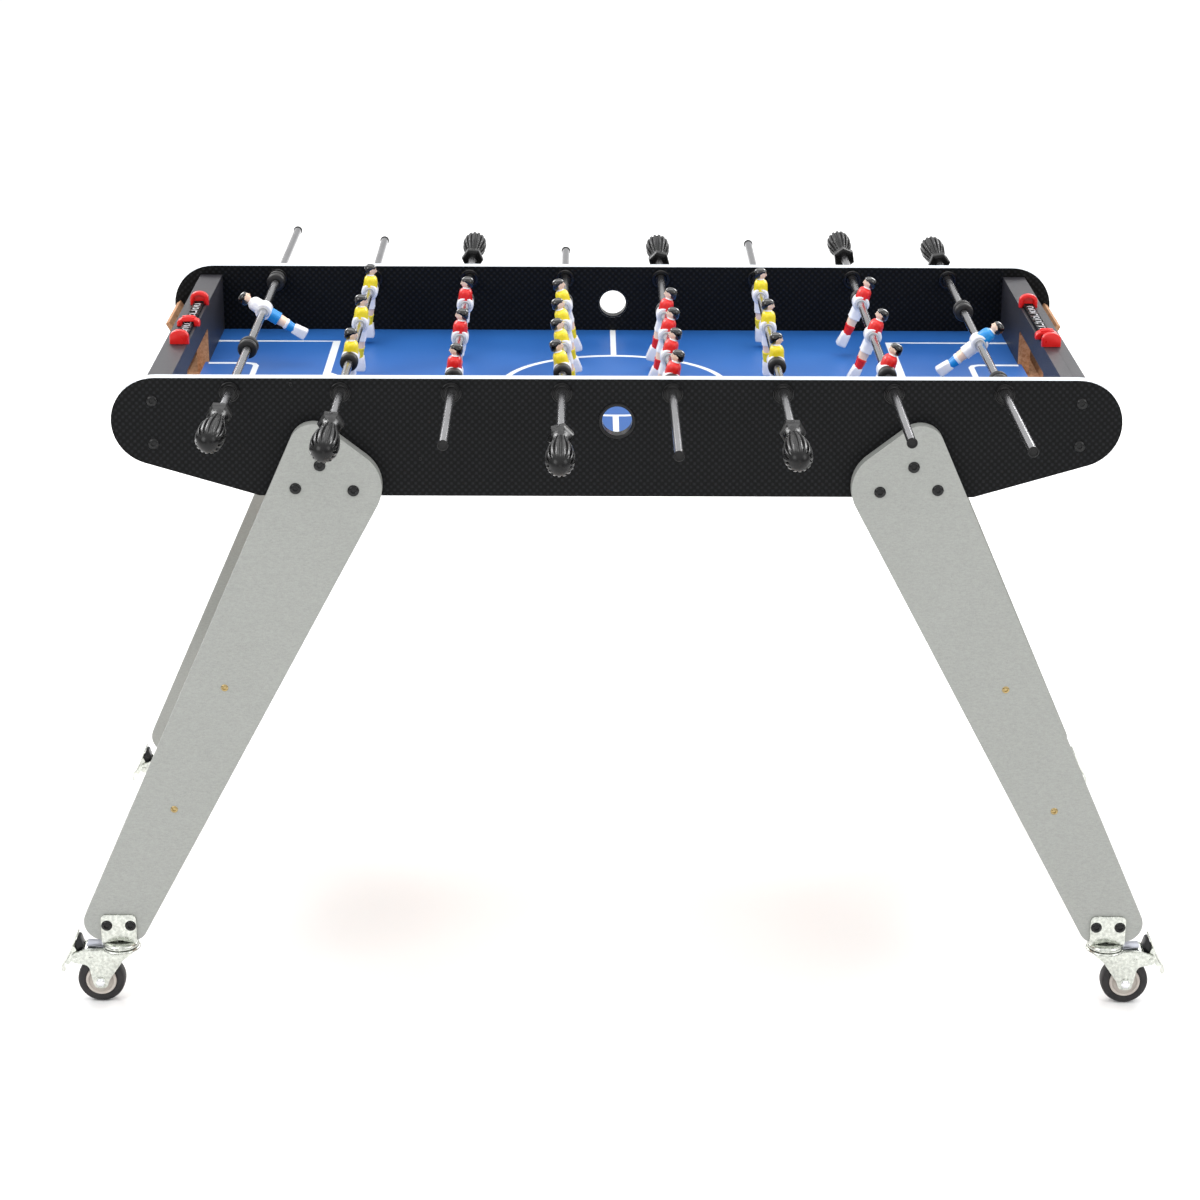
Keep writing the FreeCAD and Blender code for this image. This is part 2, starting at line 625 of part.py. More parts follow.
def bolt(x, z, face_y, side, head_r=BOLT_HEAD_R, head_h=BOLT_HEAD_H, length=BOLT_LENGTH):
    """Button-head bolt driven inwards from a face at face_y."""
    head = rod_y(head_r, x, z, *sorted((face_y, face_y + side * head_h)))
    shank = rod_y(BOLT_SHANK_R - RUN_FIT, x, z, *sorted((face_y, face_y - side * length)))
    return head.fuse(shank).removeSplitter()


def fasteners():
    solids = []
    for end in (-1, 1):
        for side in (-1, 1):
            for x, z in PANEL_BOLTS:
                solids.append(bolt(end * x, z, side * OUTER_Y, side))
            for x, z in LEG_BOLTS:
                solids.append(bolt(end * x, z, side * LEG_Y, side))
            for x, z in CROSS_BOLTS:
                solids.append(bolt(end * x, z, side * LEG_Y, side, BRASS_HEAD_R, BRASS_HEAD_H,
                                   BRASS_LENGTH))
            for s in (-1, 1):
                x = end * CASTER_X + s * CASTER_BOLT_GAP / 2
                solids.append(bolt(x, CASTER_BOLT_Z, side * (LEG_Y + PLATE_T), side,
                                   length=LEG_T + PLATE_T))
    return solids


# ---------------------------------------------------------------- assembly

def all_nodes():
    corners = [(end, side) for end in (-1, 1) for side in (-1, 1)]
    names = {(-1, -1): "front_left", (-1, 1): "rear_left", (1, -1): "front_right",
             (1, 1): "rear_right"}
    nodes = {
        "front_side_panel": [side_panel(-1)],
        "rear_side_panel": [side_panel(1)],
        "left_end_panel": end_panel(-1),
        "right_end_panel": end_panel(1),
        "playfield_board": [playfield()],
        "inner_boards": inner_boards(),
        "ball_entry_cups": [ball_cup(side) for side in (-1, 1)],
        "bearing_housings": [bearing_housing(k, side) for k in RODS for side in (-1, 1)],
        "left_legs": [leg(-1, side) for side in (-1, 1)],
        "right_legs": [leg(1, side) for side in (-1, 1)],
        "leg_cross_boards": [cross_board(end) for end in (-1, 1)],
        "caster_plates": [at_corner(caster_plate(), *corner) for corner in corners],
        "score_rails": score_rail(-1) + score_rail(1),
        "left_score_slider": [score_slider(-1)],
        "right_score_slider": [score_slider(1)],
        "fasteners": fasteners(),
    }
    for corner in corners:
        nodes["%s_caster_fork" % names[corner]] = [at_corner(fork(), *corner)]
        nodes["%s_caster_wheel" % names[corner]] = [at_corner(wheel(), *corner)]
        nodes["%s_caster_brake" % names[corner]] = [at_corner(brake_pedal(), *corner)]
    for k in RODS:
        nodes.update(rod_nodes(k))
    return nodes


def main():
    os.makedirs("parts", exist_ok=True)
    for name, solids in all_nodes().items():
        pieces = []
        for shape in solids:
            pieces += shape.Solids
        shape = pieces[0] if len(pieces) == 1 else Part.makeCompound(pieces)
        if not shape.isValid():
            print("not valid:", name)
        shape.exportStep("parts/%s.step" % name)


main()
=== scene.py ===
"""Foosball table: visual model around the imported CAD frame.  Lengths in the shape code are
millimetres and are scaled once, when a mesh is made.  X along the table, Y away from the
front side, Z up, origin on the floor under the middle of the playfield."""
import math

import bmesh
import bpy
from mathutils import Matrix, Vector


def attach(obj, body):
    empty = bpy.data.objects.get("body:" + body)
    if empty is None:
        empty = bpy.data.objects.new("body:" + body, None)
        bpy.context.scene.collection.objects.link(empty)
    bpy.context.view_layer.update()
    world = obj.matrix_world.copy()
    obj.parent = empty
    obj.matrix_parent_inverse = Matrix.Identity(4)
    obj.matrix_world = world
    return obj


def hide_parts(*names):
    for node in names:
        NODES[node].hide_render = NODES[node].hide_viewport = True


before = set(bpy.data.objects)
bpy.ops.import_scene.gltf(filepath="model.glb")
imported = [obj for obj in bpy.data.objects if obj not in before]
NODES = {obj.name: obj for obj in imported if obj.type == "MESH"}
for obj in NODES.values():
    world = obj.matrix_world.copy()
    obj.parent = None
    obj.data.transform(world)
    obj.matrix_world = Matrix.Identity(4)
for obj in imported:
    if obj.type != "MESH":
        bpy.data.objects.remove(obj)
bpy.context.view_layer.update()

MM = 0.001
TAU = 2 * math.pi
SIDES = (("front", -1), ("rear", 1))
ENDS = (("left", -1), ("right", 1))

# ---- camera, light, floor

CAMERA_PLACE = (-0.0405, -3.6634, 1.7402)
CAMERA_PITCH, CAMERA_HEADING, CAMERA_ROLL = 70.35, -0.359, 0.275     # degrees
CAMERA_LENS, SENSOR, CAMERA_REACH = 87.72, 36.0, 50.0
SKY_LEVELS = ((0.0, 0.7), (0.2, 0.5), (0.5, 1.05), (0.8, 1.35))     # height, brightness
SKY_STRENGTH = 0.95
TABLE_MIDDLE, FLOOR_BEHIND = (0.0, 0.0, 0.5), (0.0, 0.2, 0.1)
SOFTBOXES = {                                      # place, target, size, power
    "left": ((-2.6, -2.2, 2.6), TABLE_MIDDLE, (1.8, 1.8), 34.0),
    "right": ((2.8, -1.6, 2.4), TABLE_MIDDLE, (1.6, 1.8), 22.0),
    "top": ((0.0, 0.6, 3.2), TABLE_MIDDLE, (2.6, 1.6), 30.0),
    "rear_left": ((-2.2, 3.0, 2.4), FLOOR_BEHIND, (2.0, 1.4), 60.0),
    "rear_right": ((2.2, 3.0, 2.4), FLOOR_BEHIND, (2.0, 1.4), 60.0),
    "front": ((0.3, -4.2, 1.2), TABLE_MIDDLE, (2.4, 1.4), 10.0),
}


def put(name, data, place=Matrix()):
    thing = bpy.data.objects.new(name, data)
    bpy.context.scene.collection.objects.link(thing)
    thing.matrix_world = place
    return thing


def add_camera():
    data = bpy.data.cameras.new("camera")
    data.lens = CAMERA_LENS
    data.sensor_width = SENSOR
    data.clip_end = CAMERA_REACH
    turn = (Matrix.Rotation(math.radians(CAMERA_HEADING), 4, "Z")
            @ Matrix.Rotation(math.radians(CAMERA_PITCH), 4, "X")
            @ Matrix.Rotation(math.radians(CAMERA_ROLL), 4, "Z"))
    bpy.context.scene.camera = put("camera", data, Matrix.Translation(CAMERA_PLACE) @ turn)


def add_light(name, place, target, size, power):
    data = bpy.data.lights.new(name, "AREA")
    data.shape = "RECTANGLE"
    data.size, data.size_y = size
    data.energy = power
    aim = (Vector(target) - Vector(place)).to_track_quat("-Z", "Y")
    put(name, data, Matrix.Translation(place) @ aim.to_matrix().to_4x4())


def add_studio():
    """Even world light, darker towards the horizon so that metal has something to mirror."""
    world = bpy.data.worlds.new("studio")
    world.use_nodes = True
    tree = world.node_tree
    place = tree.nodes.new("ShaderNodeTexCoord")
    split = tree.nodes.new("ShaderNodeSeparateXYZ")
    ramp = tree.nodes.new("ShaderNodeValToRGB")
    tree.links.new(place.outputs["Generated"], split.inputs[0])
    tree.links.new(split.outputs["Z"], ramp.inputs["Fac"])
    tree.links.new(ramp.outputs["Color"], tree.nodes["Background"].inputs["Color"])
    for stop, (height, level) in zip(ramp.color_ramp.elements, SKY_LEVELS):
        stop.position, stop.color = height, (level, level, level, 1.0)
    for height, level in SKY_LEVELS[2:]:
        ramp.color_ramp.elements.new(height).color = (level, level, level, 1.0)
    tree.nodes["Background"].inputs["Strength"].default_value = SKY_STRENGTH
    bpy.context.scene.world = world
    for name, settings in SOFTBOXES.items():
        add_light("softbox_" + name, *settings)
    bpy.context.scene.view_settings.view_transform = "Standard"


# ---- materials

class Nodes:
    """Short way to write a material's node tree."""

    def __init__(self, name):
        self.material = bpy.data.materials.new(name)
        self.material.use_nodes = True
        self.tree = self.material.node_tree
        self.shader = self.tree.nodes["Principled BSDF"]
        self.place = self.new("ShaderNodeTexCoord").outputs["Object"]

    def new(self, kind, **settings):
        node = self.tree.nodes.new(kind)
        for key, value in settings.items():
            setattr(node, key, value)
        return node

    def link(self, source, target):
        if hasattr(source, "is_output"):
            self.tree.links.new(source, target)
        elif isinstance(source, tuple):
            target.default_value = source + (1.0,)
        else:
            target.default_value = source

    def math(self, operation, *values):
        node = self.new("ShaderNodeMath", operation=operation)
        for socket, value in zip(node.inputs, values):
            self.link(value, socket)
        return node.outputs[0]

    def blend(self, *terms):
        """Weighted sum of (value, weight) pairs."""
        total = None
        for value, weight in reversed(terms):
            term = self.math("MULTIPLY", value, weight)
            total = self.math("ADD", term, total) if total else term
        return total

    def axes(self):
        split = self.new("ShaderNodeSeparateXYZ")
        self.link(self.place, split.inputs[0])
        return [split.outputs[axis] for axis in "XYZ"]

    def scaled(self, factors):
        node = self.new("ShaderNodeVectorMath", operation="MULTIPLY")
        self.link(self.place, node.inputs[0])
        node.inputs[1].default_value = factors
        return node.outputs[0]

    def noise(self, scale, detail=3.0, roughness=0.5, stretch=None):
        node = self.new("ShaderNodeTexNoise")
        self.link(self.scaled(stretch) if stretch else self.place, node.inputs["Vector"])
        node.inputs["Scale"].default_value = scale
        node.inputs["Detail"].default_value = detail
        node.inputs["Roughness"].default_value = roughness
        return node.outputs["Fac"]

    def remap(self, value, low, high, to_low, to_high):
        node = self.new("ShaderNodeMapRange", clamp=True)
        for socket, item in zip(node.inputs, (value, low, high, to_low, to_high)):
            self.link(item, socket)
        return node.outputs["Result"]

    def mix(self, factor, a, b):
        node = self.new("ShaderNodeMix", data_type="RGBA")
        self.link(factor, node.inputs["Factor"])
        sockets = [s for s in node.inputs if s.type == "RGBA"]
        self.link(a, sockets[0])
        self.link(b, sockets[1])
        return [s for s in node.outputs if s.type == "RGBA"][0]

    def bump(self, height, strength, distance_mm):
        node = self.new("ShaderNodeBump")
        node.inputs["Strength"].default_value = strength
        node.inputs["Distance"].default_value = distance_mm * MM
        self.link(height, node.inputs["Height"])
        self.link(node.outputs["Normal"], self.shader.inputs["Normal"])

    def finish(self, color, roughness, metallic=0.0, specular=0.5, coat=0.0):
        self.link(color, self.shader.inputs["Base Color"])
        self.link(roughness, self.shader.inputs["Roughness"])
        self.shader.inputs["Metallic"].default_value = metallic
        self.shader.inputs["Specular IOR Level"].default_value = specular
        self.shader.inputs["Coat Weight"].default_value = coat
        return self.material


def srgb(r, g, b):
    """Linear colour from 0-255 display values."""
    return tuple((v / 255 / 12.92) if v <= 10 else ((v / 255 + 0.055) / 1.055) ** 2.4
                 for v in (r, g, b))


def plastic(name, color, roughness=0.3, mottle=0.08, grain_mm=0.02, coat=0.0,
            specular=0.5):
    """Moulded plastic: slight colour drift, fine moulding grain, uneven gloss."""
    n = Nodes(name)
    drift = n.noise(45.0, 2.0)
    fine = n.noise(900.0, 2.0)
    dark = tuple(c * (1 - mottle) for c in color)
    light = tuple(min(1.0, c * (1 + mottle) + 0.004) for c in color)
    n.bump(fine, 0.35, grain_mm)
    gloss = n.remap(drift, 0.3, 0.7, roughness - 0.05, roughness + 0.07)
    return n.finish(n.mix(n.remap(drift, 0.3, 0.7, 0.0, 1.0), dark, light), gloss, specular=specular,
                    coat=coat)


def metal(name, color, roughness, brush=(1.0, 1.0, 1.0), blotch=0.12, scratch_mm=0.02, cloud=60.0,
          wear_span=0.08):
    """Bare or plated metal with brushing along one axis and blotchy reflectance."""
    n = Nodes(name)
    blotches = n.noise(cloud, 4.0)
    lines = n.noise(700.0, 3.0, 0.6, brush)
    dark = tuple(c * (1 - blotch) for c in color)
    light = tuple(min(1.0, c * (1 + blotch)) for c in color)
    tone = n.mix(n.remap(blotches, 0.35, 0.65, 0.0, 1.0), dark, light)
    wear = n.blend((blotches, 0.5), (lines, 0.5))
    n.bump(lines, 0.3, scratch_mm)
    return n.finish(tone, n.remap(wear, 0.3, 0.7, roughness - wear_span, roughness + wear_span), 1.0)


def laminate():
    """Black embossed laminate: a staggered bump pattern on the upright faces, with a painted highlight on
    each bump top.
    """
    n = Nodes("black_laminate")
    x, y, z = n.axes()
    turn = TAU / (EMBOSS_PITCH * MM)
    wave = n.math("MULTIPLY", n.math("COSINE", n.math("MULTIPLY", n.math("ADD", x, y), turn)),
                  n.math("COSINE", n.math("MULTIPLY", z, turn)))
    bumps_with_painted_highlight = n.remap(wave, -0.1, 0.75, 0.0, 1.0)
    soot = n.noise(130.0, 4.0)
    fine = n.noise(1500.0, 2.0)
    # The hollows keep the plain black (low); each bump top gets the lighter tone (high), a painted
    # highlight.
    low = n.mix(soot, srgb(5, 6, 6), srgb(10, 11, 12))
    high = n.mix(soot, srgb(20, 21, 23), srgb(32, 33, 36))
    n.bump(n.math("ADD", bumps_with_painted_highlight, n.math("MULTIPLY", fine, 0.12)), 0.8, 0.35)
    return n.finish(n.mix(bumps_with_painted_highlight, low, high), n.remap(bumps_with_painted_highlight, 0.0, 1.0, 0.5, 0.38), specular=0.13)


def ribbed_laminate():
    """Finer black laminate with close cross lines, on the goal ends; each rib crest carries a painted
    highlight.
    """
    n = Nodes("ribbed_laminate")
    _, y, z = n.axes()
    slant = n.math("ADD", y, n.math("MULTIPLY", z, RIB_SLANT))
    wave = n.math("SINE", n.math("MULTIPLY", slant, TAU / (RIB_PITCH * MM)))
    ribs_with_painted_highlight = n.remap(wave, -0.5, 0.7, 0.0, 1.0)
    soot = n.noise(130.0, 4.0)
    # The grooves keep the darker tone (low); each rib crest gets the lighter tone (high), a painted
    # highlight.
    low = n.mix(soot, srgb(20, 20, 24), srgb(30, 30, 34))
    high = n.mix(soot, srgb(50, 49, 54), srgb(68, 66, 72))
    n.bump(ribs_with_painted_highlight, 0.6, 0.25)
    return n.finish(n.mix(ribs_with_painted_highlight, low, high), n.remap(ribs_with_painted_highlight, 0.0, 1.0, 0.5, 0.4), specular=0.4)


def edge_band():
    """Pale silvery strip glued round the panel edges."""
    n = Nodes("edge_band")
    grain = n.noise(500.0, 3.0, 0.6)
    tone = n.mix(grain, srgb(196, 202, 208), srgb(220, 225, 230))
    n.bump(grain, 0.3, 0.02)
    return n.finish(tone, n.remap(grain, 0.3, 0.7, 0.32, 0.46))


def grey_board(name, low, high):
    """Grey foil with a fine hammered grain."""
    n = Nodes(name)
    fine = n.noise(900.0, 3.0, 0.65)
    fibres = n.noise(520.0, 3.0, 0.5, (0.4, 1.0, 1.0))
    cloud = n.noise(9.0, 2.0)
    mixed = n.blend((fine, 0.55), (fibres, 0.38), (cloud, 0.07))
    tone = n.mix(n.remap(mixed, 0.36, 0.64, 0.0, 1.0), low, high)
    n.bump(mixed, 0.45, 0.12)
    return n.finish(tone, n.remap(mixed, 0.3, 0.7, 0.5, 0.66), specular=0.35)


def raw_board():
    """Raw fibreboard: warm brown with short darker fibres."""
    n = Nodes("raw_fibreboard")
    fibres = n.noise(240.0, 5.0, 0.7, (1.0, 0.4, 1.0))
    specks = n.noise(1100.0, 2.0, 0.5)
    cloud = n.noise(14.0, 2.0)
    mixed = n.blend((fibres, 0.6), (specks, 0.2), (cloud, 0.2))
    tone = n.mix(n.remap(mixed, 0.38, 0.62, 0.0, 1.0), srgb(150, 104, 72), srgb(202, 158, 122))
    n.bump(mixed, 0.6, 0.2)
    return n.finish(tone, n.remap(mixed, 0.3, 0.7, 0.72, 0.88), specular=0.2)


def printed_field():
    """Printed blue playfield with a faint paper grain and soft gloss."""
    n = Nodes("blue_field")
    cloud = n.noise(4.0, 2.0)
    grain = n.noise(700.0, 3.0, 0.6)
    mixed = n.blend((cloud, 0.6), (grain, 0.4))
    tone = n.mix(n.remap(mixed, 0.35, 0.65, 0.0, 1.0), srgb(32, 88, 162), srgb(46, 107, 182))
    n.bump(grain, 0.25, 0.02)
    return n.finish(tone, n.remap(mixed, 0.3, 0.7, 0.34, 0.46), specular=0.4)


def tyre_rubber(name, low, high, roughness):
    """Dull rubber with a light dusting."""
    n = Nodes(name)
    dust = n.noise(80.0, 4.0, 0.6)
    fine = n.noise(1200.0, 2.0)
    n.bump(fine, 0.5, 0.05)
    return n.finish(n.mix(n.remap(dust, 0.35, 0.7, 0.0, 1.0), low, high),
                    n.remap(dust, 0.3, 0.7, roughness - 0.08, roughness + 0.1), specular=0.35)


EMBOSS_PITCH = 8.6
RIB_PITCH, RIB_SLANT = 3.4, 0.8

MATERIALS = {
    "laminate": laminate(),
    "ribbed": ribbed_laminate(),
    "edge": edge_band(),
    "grey": grey_board("grey_laminate", srgb(147, 149, 145), srgb(164, 166, 162)),
    "board": raw_board(),
    "field": printed_field(),
    "line": plastic("line_print", srgb(232, 236, 240), 0.42, 0.03, 0.01),
    "steel": metal("steel_tube", (0.5, 0.5, 0.515), 0.2, (1.0, 0.02, 1.0), 0.04, 0.001,
                   20.0, 0.02),
    "zinc": metal("zinc_plate", (0.60, 0.62, 0.57), 0.24, (0.3, 1.0, 1.0), 0.2, 0.02, 260.0),
    "spring": metal("spring_steel", (0.34, 0.35, 0.39), 0.34, (0.1, 1.0, 1.0)),
    "chrome": metal("chrome_nut", (0.82, 0.83, 0.85), 0.12, (1.0, 1.0, 1.0), 0.04),
    "brass": metal("brass", (0.45, 0.34, 0.16), 0.3, (1.0, 1.0, 1.0), 0.2),
    "bolt": plastic("black_steel", srgb(16, 17, 18), 0.26, 0.25, 0.02, 0.0, 0.3),
    "black": plastic("black_plastic", srgb(9, 9, 10), 0.27, 0.2, 0.02, 0.0, 0.3),
    "bearing": plastic("black_nylon", srgb(8, 8, 9), 0.2, 0.2, 0.01, 0.0, 0.35),
    "rubber": tyre_rubber("black_rubber", srgb(20, 20, 21), srgb(40, 39, 39), 0.48),
    "tyre": tyre_rubber("tyre_rubber", srgb(26, 24, 26), srgb(46, 43, 44), 0.5),
    "core": plastic("wheel_core", srgb(184, 176, 168), 0.42, 0.08),
    "red": plastic("red_plastic", srgb(226, 28, 26), 0.3, 0.08),
    "yellow": plastic("yellow_plastic", srgb(246, 222, 40), 0.3, 0.06),
    "white": plastic("white_plastic", srgb(238, 238, 242), 0.3, 0.03),
    "sky": plastic("blue_plastic", srgb(18, 138, 214), 0.3, 0.08),
    "skin": plastic("skin_paint", srgb(246, 214, 190), 0.38, 0.03),
    "hair": plastic("hair_paint", srgb(8, 8, 9), 0.1, 0.2, 0.01, 0.6),
    "hub": plastic("hub_plastic", srgb(206, 208, 212), 0.34, 0.05),
    "digit": plastic("digit_paint", srgb(206, 206, 210), 0.5, 0.1),
}


# ---- shape kit

class Shape:
    """Collects points and faces in millimetres, each face with its finish."""

    def __init__(self):
        self.points, self.faces, self.finishes = [], [], []

    def add(self, part, finish, move=None):
        points, faces = part
        base = len(self.points)
        self.points += [tuple(move @ Vector(p)) if move else tuple(p) for p in points]
        self.faces += [[base + i for i in f] for f in faces]
        self.finishes += [finish] * len(faces)
        return self

    def mesh(self, name, angle=40.0):
        """One mesh from all parts; each finish becomes a material slot."""
        used = list(dict.fromkeys(self.finishes))
        data = bpy.data.meshes.new(name)
        data.from_pydata([[c * MM for c in p] for p in self.points], [], self.faces)
        for key in used:
            data.materials.append(MATERIALS[key])
        data.polygons.foreach_set("material_index", [used.index(f) for f in self.finishes])
        grown = bmesh.new()
        grown.from_mesh(data)
        bmesh.ops.remove_doubles(grown, verts=grown.verts, dist=1e-7)
        bmesh.ops.recalc_face_normals(grown, faces=grown.faces)
        grown.to_mesh(data)
        grown.free()
        data.polygons.foreach_set("use_smooth", [True] * len(data.polygons))
        data.set_sharp_from_angle(angle=math.radians(angle))
        data.update()
        return data


def add_piece(name, mesh, body, place=Matrix(), replaces=()):
    piece = put(name, mesh, place)
    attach(piece, body)
    if replaces:
        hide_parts(*replaces)
    return piece


def at(x, y, z):
    return Matrix.Translation((x * MM, y * MM, z * MM))


def moved(x=0.0, y=0.0, z=0.0):
    return Matrix.Translation((x, y, z))


def turned(degrees, axis):
    return Matrix.Rotation(math.radians(degrees), 4, axis)


def bridge(rings, closed=False, caps=True):
    """Points and faces of a skin over rings with equal counts."""
    count = len(rings[0])
    points = [p for ring in rings for p in ring]
    faces = []
    last = len(rings) if closed else len(rings) - 1
    for i in range(last):
        a, b = i * count, ((i + 1) % len(rings)) * count
        for j in range(count):
            k = (j + 1) % count
            faces.append([a + j, a + k, b + k, b + j])
    if caps and not closed:
        faces.append(list(range(count))[::-1])
        faces.append([last * count + j for j in range(count)])
    return points, faces


def round_ring(y, radius_at, count):
    """Ring about the Y axis; radius_at(angle) gives the radius there."""
    ring = []
    for j in range(count):
        a = TAU * j / count
        r = radius_at(a)
        ring.append((r * math.cos(a), y, r * math.sin(a)))
    return ring


def lathe(profile, count=48, closed=False):
    """Turned part about the Y axis from (y, radius) pairs."""
    return bridge([round_ring(y, lambda a: r, count) for y, r in profile], closed)


def mirrored(profile, skip=0):
    """The profile and its mirror image in the first coordinate, without its last skip points."""
    return profile + [(-u, v) for u, v in profile[len(profile) - 1 - skip::-1]]


def oval(cx, cy, z, rx, ry, power=2.0, count=28):
    """Superellipse ring in a plane of constant z."""
    ring = []
    for j in range(count):
        a = TAU * j / count
        c, s = math.cos(a), math.sin(a)
        ring.append((cx + rx * math.copysign(abs(c) ** (2 / power), c),
                     cy + ry * math.copysign(abs(s) ** (2 / power), s), z))
    return ring


def column(sections, power=2.0, count=28, side=1):
    """Upright body from (z, centre x, half depth, half width[, centre y]) sections."""
    return bridge([oval(s[1], side * s[4] if len(s) > 4 else 0.0, s[0], s[2], s[3], power, count)
                   for s in sections])


def ball(cx, cy, cz, rx, ry, rz, count, rows):
    rings = []
    for i in range(1, rows):
        a = math.pi * i / rows
        rings.append(oval(cx, cy, cz - rz * math.cos(a), rx * math.sin(a), ry * math.sin(a),
                          2.0, count))
    return bridge(rings)


SHARPEST_CORNER = 0.35          # keeps the offset short at a sharp corner


def outline_offset(outline, distance):
    """Move a counter-clockwise outline inwards by distance."""
    result = []
    count = len(outline)
    for i in range(count):
        p, a, b = Vector(outline[i]), Vector(outline[i - 1]), Vector(outline[(i + 1) % count])
        d1, d2 = (p - a).normalized(), (b - p).normalized()
        n1, n2 = Vector((-d1.y, d1.x)), Vector((-d2.y, d2.x))
        middle = (n1 + n2) / max((n1 + n2).length_squared / 2, SHARPEST_CORNER)
        result.append(tuple(p + middle * distance))
    return result


def signed_area(outline):
    return sum(a[0] * b[1] - b[0] * a[1] for a, b in zip(outline, outline[1:] + outline[:1])) / 2


def plate(outline, low, high, bevel=0.5, axis="Y"):
    """Board of an outline with rounded rims.  axis Y: outline is (x, z); Z: (x, y)."""
    low, high = sorted((low, high))
    if signed_area(outline) < 0:
        outline = outline[::-1]
    inner = outline_offset(outline, bevel)
    soft = outline_offset(outline, bevel * 0.3)
    levels = [(low, inner), (low + bevel * 0.3, soft), (low + bevel, outline),
              (high - bevel, outline), (high - bevel * 0.3, soft), (high, inner)]
    return bridge([[(u, t, v) if axis == "Y" else (u, v, t) for u, v in ring] for t, ring in levels])


def block(x0, x1, y0, y1, z0, z1, bevel=0.5):
    return plate([(x0, z0), (x1, z0), (x1, z1), (x0, z1)], y0, y1, bevel)


def facing(side):
    """Turns a shape made to stand out along +Y so that it faces the given side."""
    return turned(0 if side > 0 else 180, "Z")


def rounded(corners, radii, steps=6):
    """Outline through corners, each rounded; radii is one number or a list."""
    result, count = [], len(corners)
    for i, corner in enumerate(corners):
        r = radii[i] if hasattr(radii, "__len__") else radii
        p, a, b = Vector(corner), Vector(corners[i - 1]), Vector(corners[(i + 1) % count])
        if r <= 0:
            result.append(tuple(p))
            continue
        u, v = (a - p).normalized(), (b - p).normalized()
        half = u.angle(v) / 2
        centre = p + (u + v).normalized() * (r / math.sin(half))
        start, end = p + u * (r / math.tan(half)) - centre, p + v * (r / math.tan(half)) - centre
        sweep = start.angle_signed(end)
        for s in range(steps + 1):
            t = -sweep * s / steps
            c, q = math.cos(t), math.sin(t)
            result.append((centre.x + start.x * c - start.y * q,
                           centre.y + start.x * q + start.y * c))
    return result


# ---- boards from the frame

CREASE = 40.0          # degrees: sharper edges are eased


def softened_copy(node, name, finish_of, bevel_mm=0.7):
    """The node's own board with merged faces, finishes by face direction and eased edges."""
    source = NODES[node]
    data = source.data.copy()
    data.name = name
    data.materials.clear()
    work = bmesh.new()
    work.from_mesh(data)
    bmesh.ops.remove_doubles(work, verts=work.verts, dist=2e-6)
    bmesh.ops.dissolve_limit(work, angle_limit=math.radians(1.0), verts=work.verts,
                             edges=work.edges)
    bmesh.ops.recalc_face_normals(work, faces=work.faces)
    used = []
    for face in work.faces:
        key = finish_of(face.normal, face.calc_center_median() / MM)
        if key not in used:
            used.append(key)
        face.material_index = used.index(key)
        face.smooth = True
    work.to_mesh(data)
    work.free()
    for key in used:
        data.materials.append(MATERIALS[key])
    if "custom_normal" in data.attributes:
        data.attributes.remove(data.attributes["custom_normal"])
    piece = add_piece(name, data, "cabinet", replaces=(node,))
    ease = piece.modifiers.new("eased_edges", "BEVEL")
    ease.width = bevel_mm * MM
    ease.segments = 2
    ease.limit_method = "ANGLE"
    ease.angle_limit = math.radians(CREASE)
    ease.harden_normals = True
    data.set_sharp_from_angle(angle=math.radians(CREASE))


GOAL_RIM_Y, GOAL_RIM_Z = 109.0, 776.0


def panel_finish(normal, _):
    return "laminate" if abs(normal.y) > 0.7 else "edge"


def end_finish(normal, centre):
    rim = abs(centre.y) < GOAL_RIM_Y and centre.z < GOAL_RIM_Z and abs(normal.x) < 0.7
    return "board" if rim or normal.z < -0.7 else "ribbed"


def field_finish(normal, _):
    return "field" if normal.z > 0.7 else "board"


def leg_finish(*_):
    return "grey"


def make_boards():
    for side, _ in SIDES:
        softened_copy(side + "_side_panel", side + "_panel_board", panel_finish)
    for end, _ in ENDS:
        softened_copy(end + "_end_panel", end + "_goal_end", end_finish, 0.9)
        softened_copy(end + "_legs", end + "_leg_boards", leg_finish, 1.0)
    softened_copy("playfield_board", "blue_field_board", field_finish, 0.2)
    softened_copy("leg_cross_boards", "cross_boards", leg_finish, 1.0)


def dress_node(node, key):
    data = NODES[node].data
    for slot in NODES[node].material_slots:
        slot.material = MATERIALS[key]
    if not NODES[node].material_slots:
        data.materials.append(MATERIALS[key])


# ---- playfield print

FIELD_Z = 728.5
PRINT_T = 0.15
LINE_W = 7.5
CIRCLE_R = 145.0
FIELD_HALF_Y = 284.0
FIELD_HALF_X = 538.0
BOX_DEPTH, BOX_HALF = 161.0, 218.0
GOAL_DEPTH, GOAL_HALF = 64.0, 102.0
ARC_R, SPOT_BACK = 70.0, 45.0          # goal arc, and how far its middle is behind the box line
CORNER_R = 12.0
OVERLAP_LIFT = 0.05                    # a line that crosses another lies this much higher


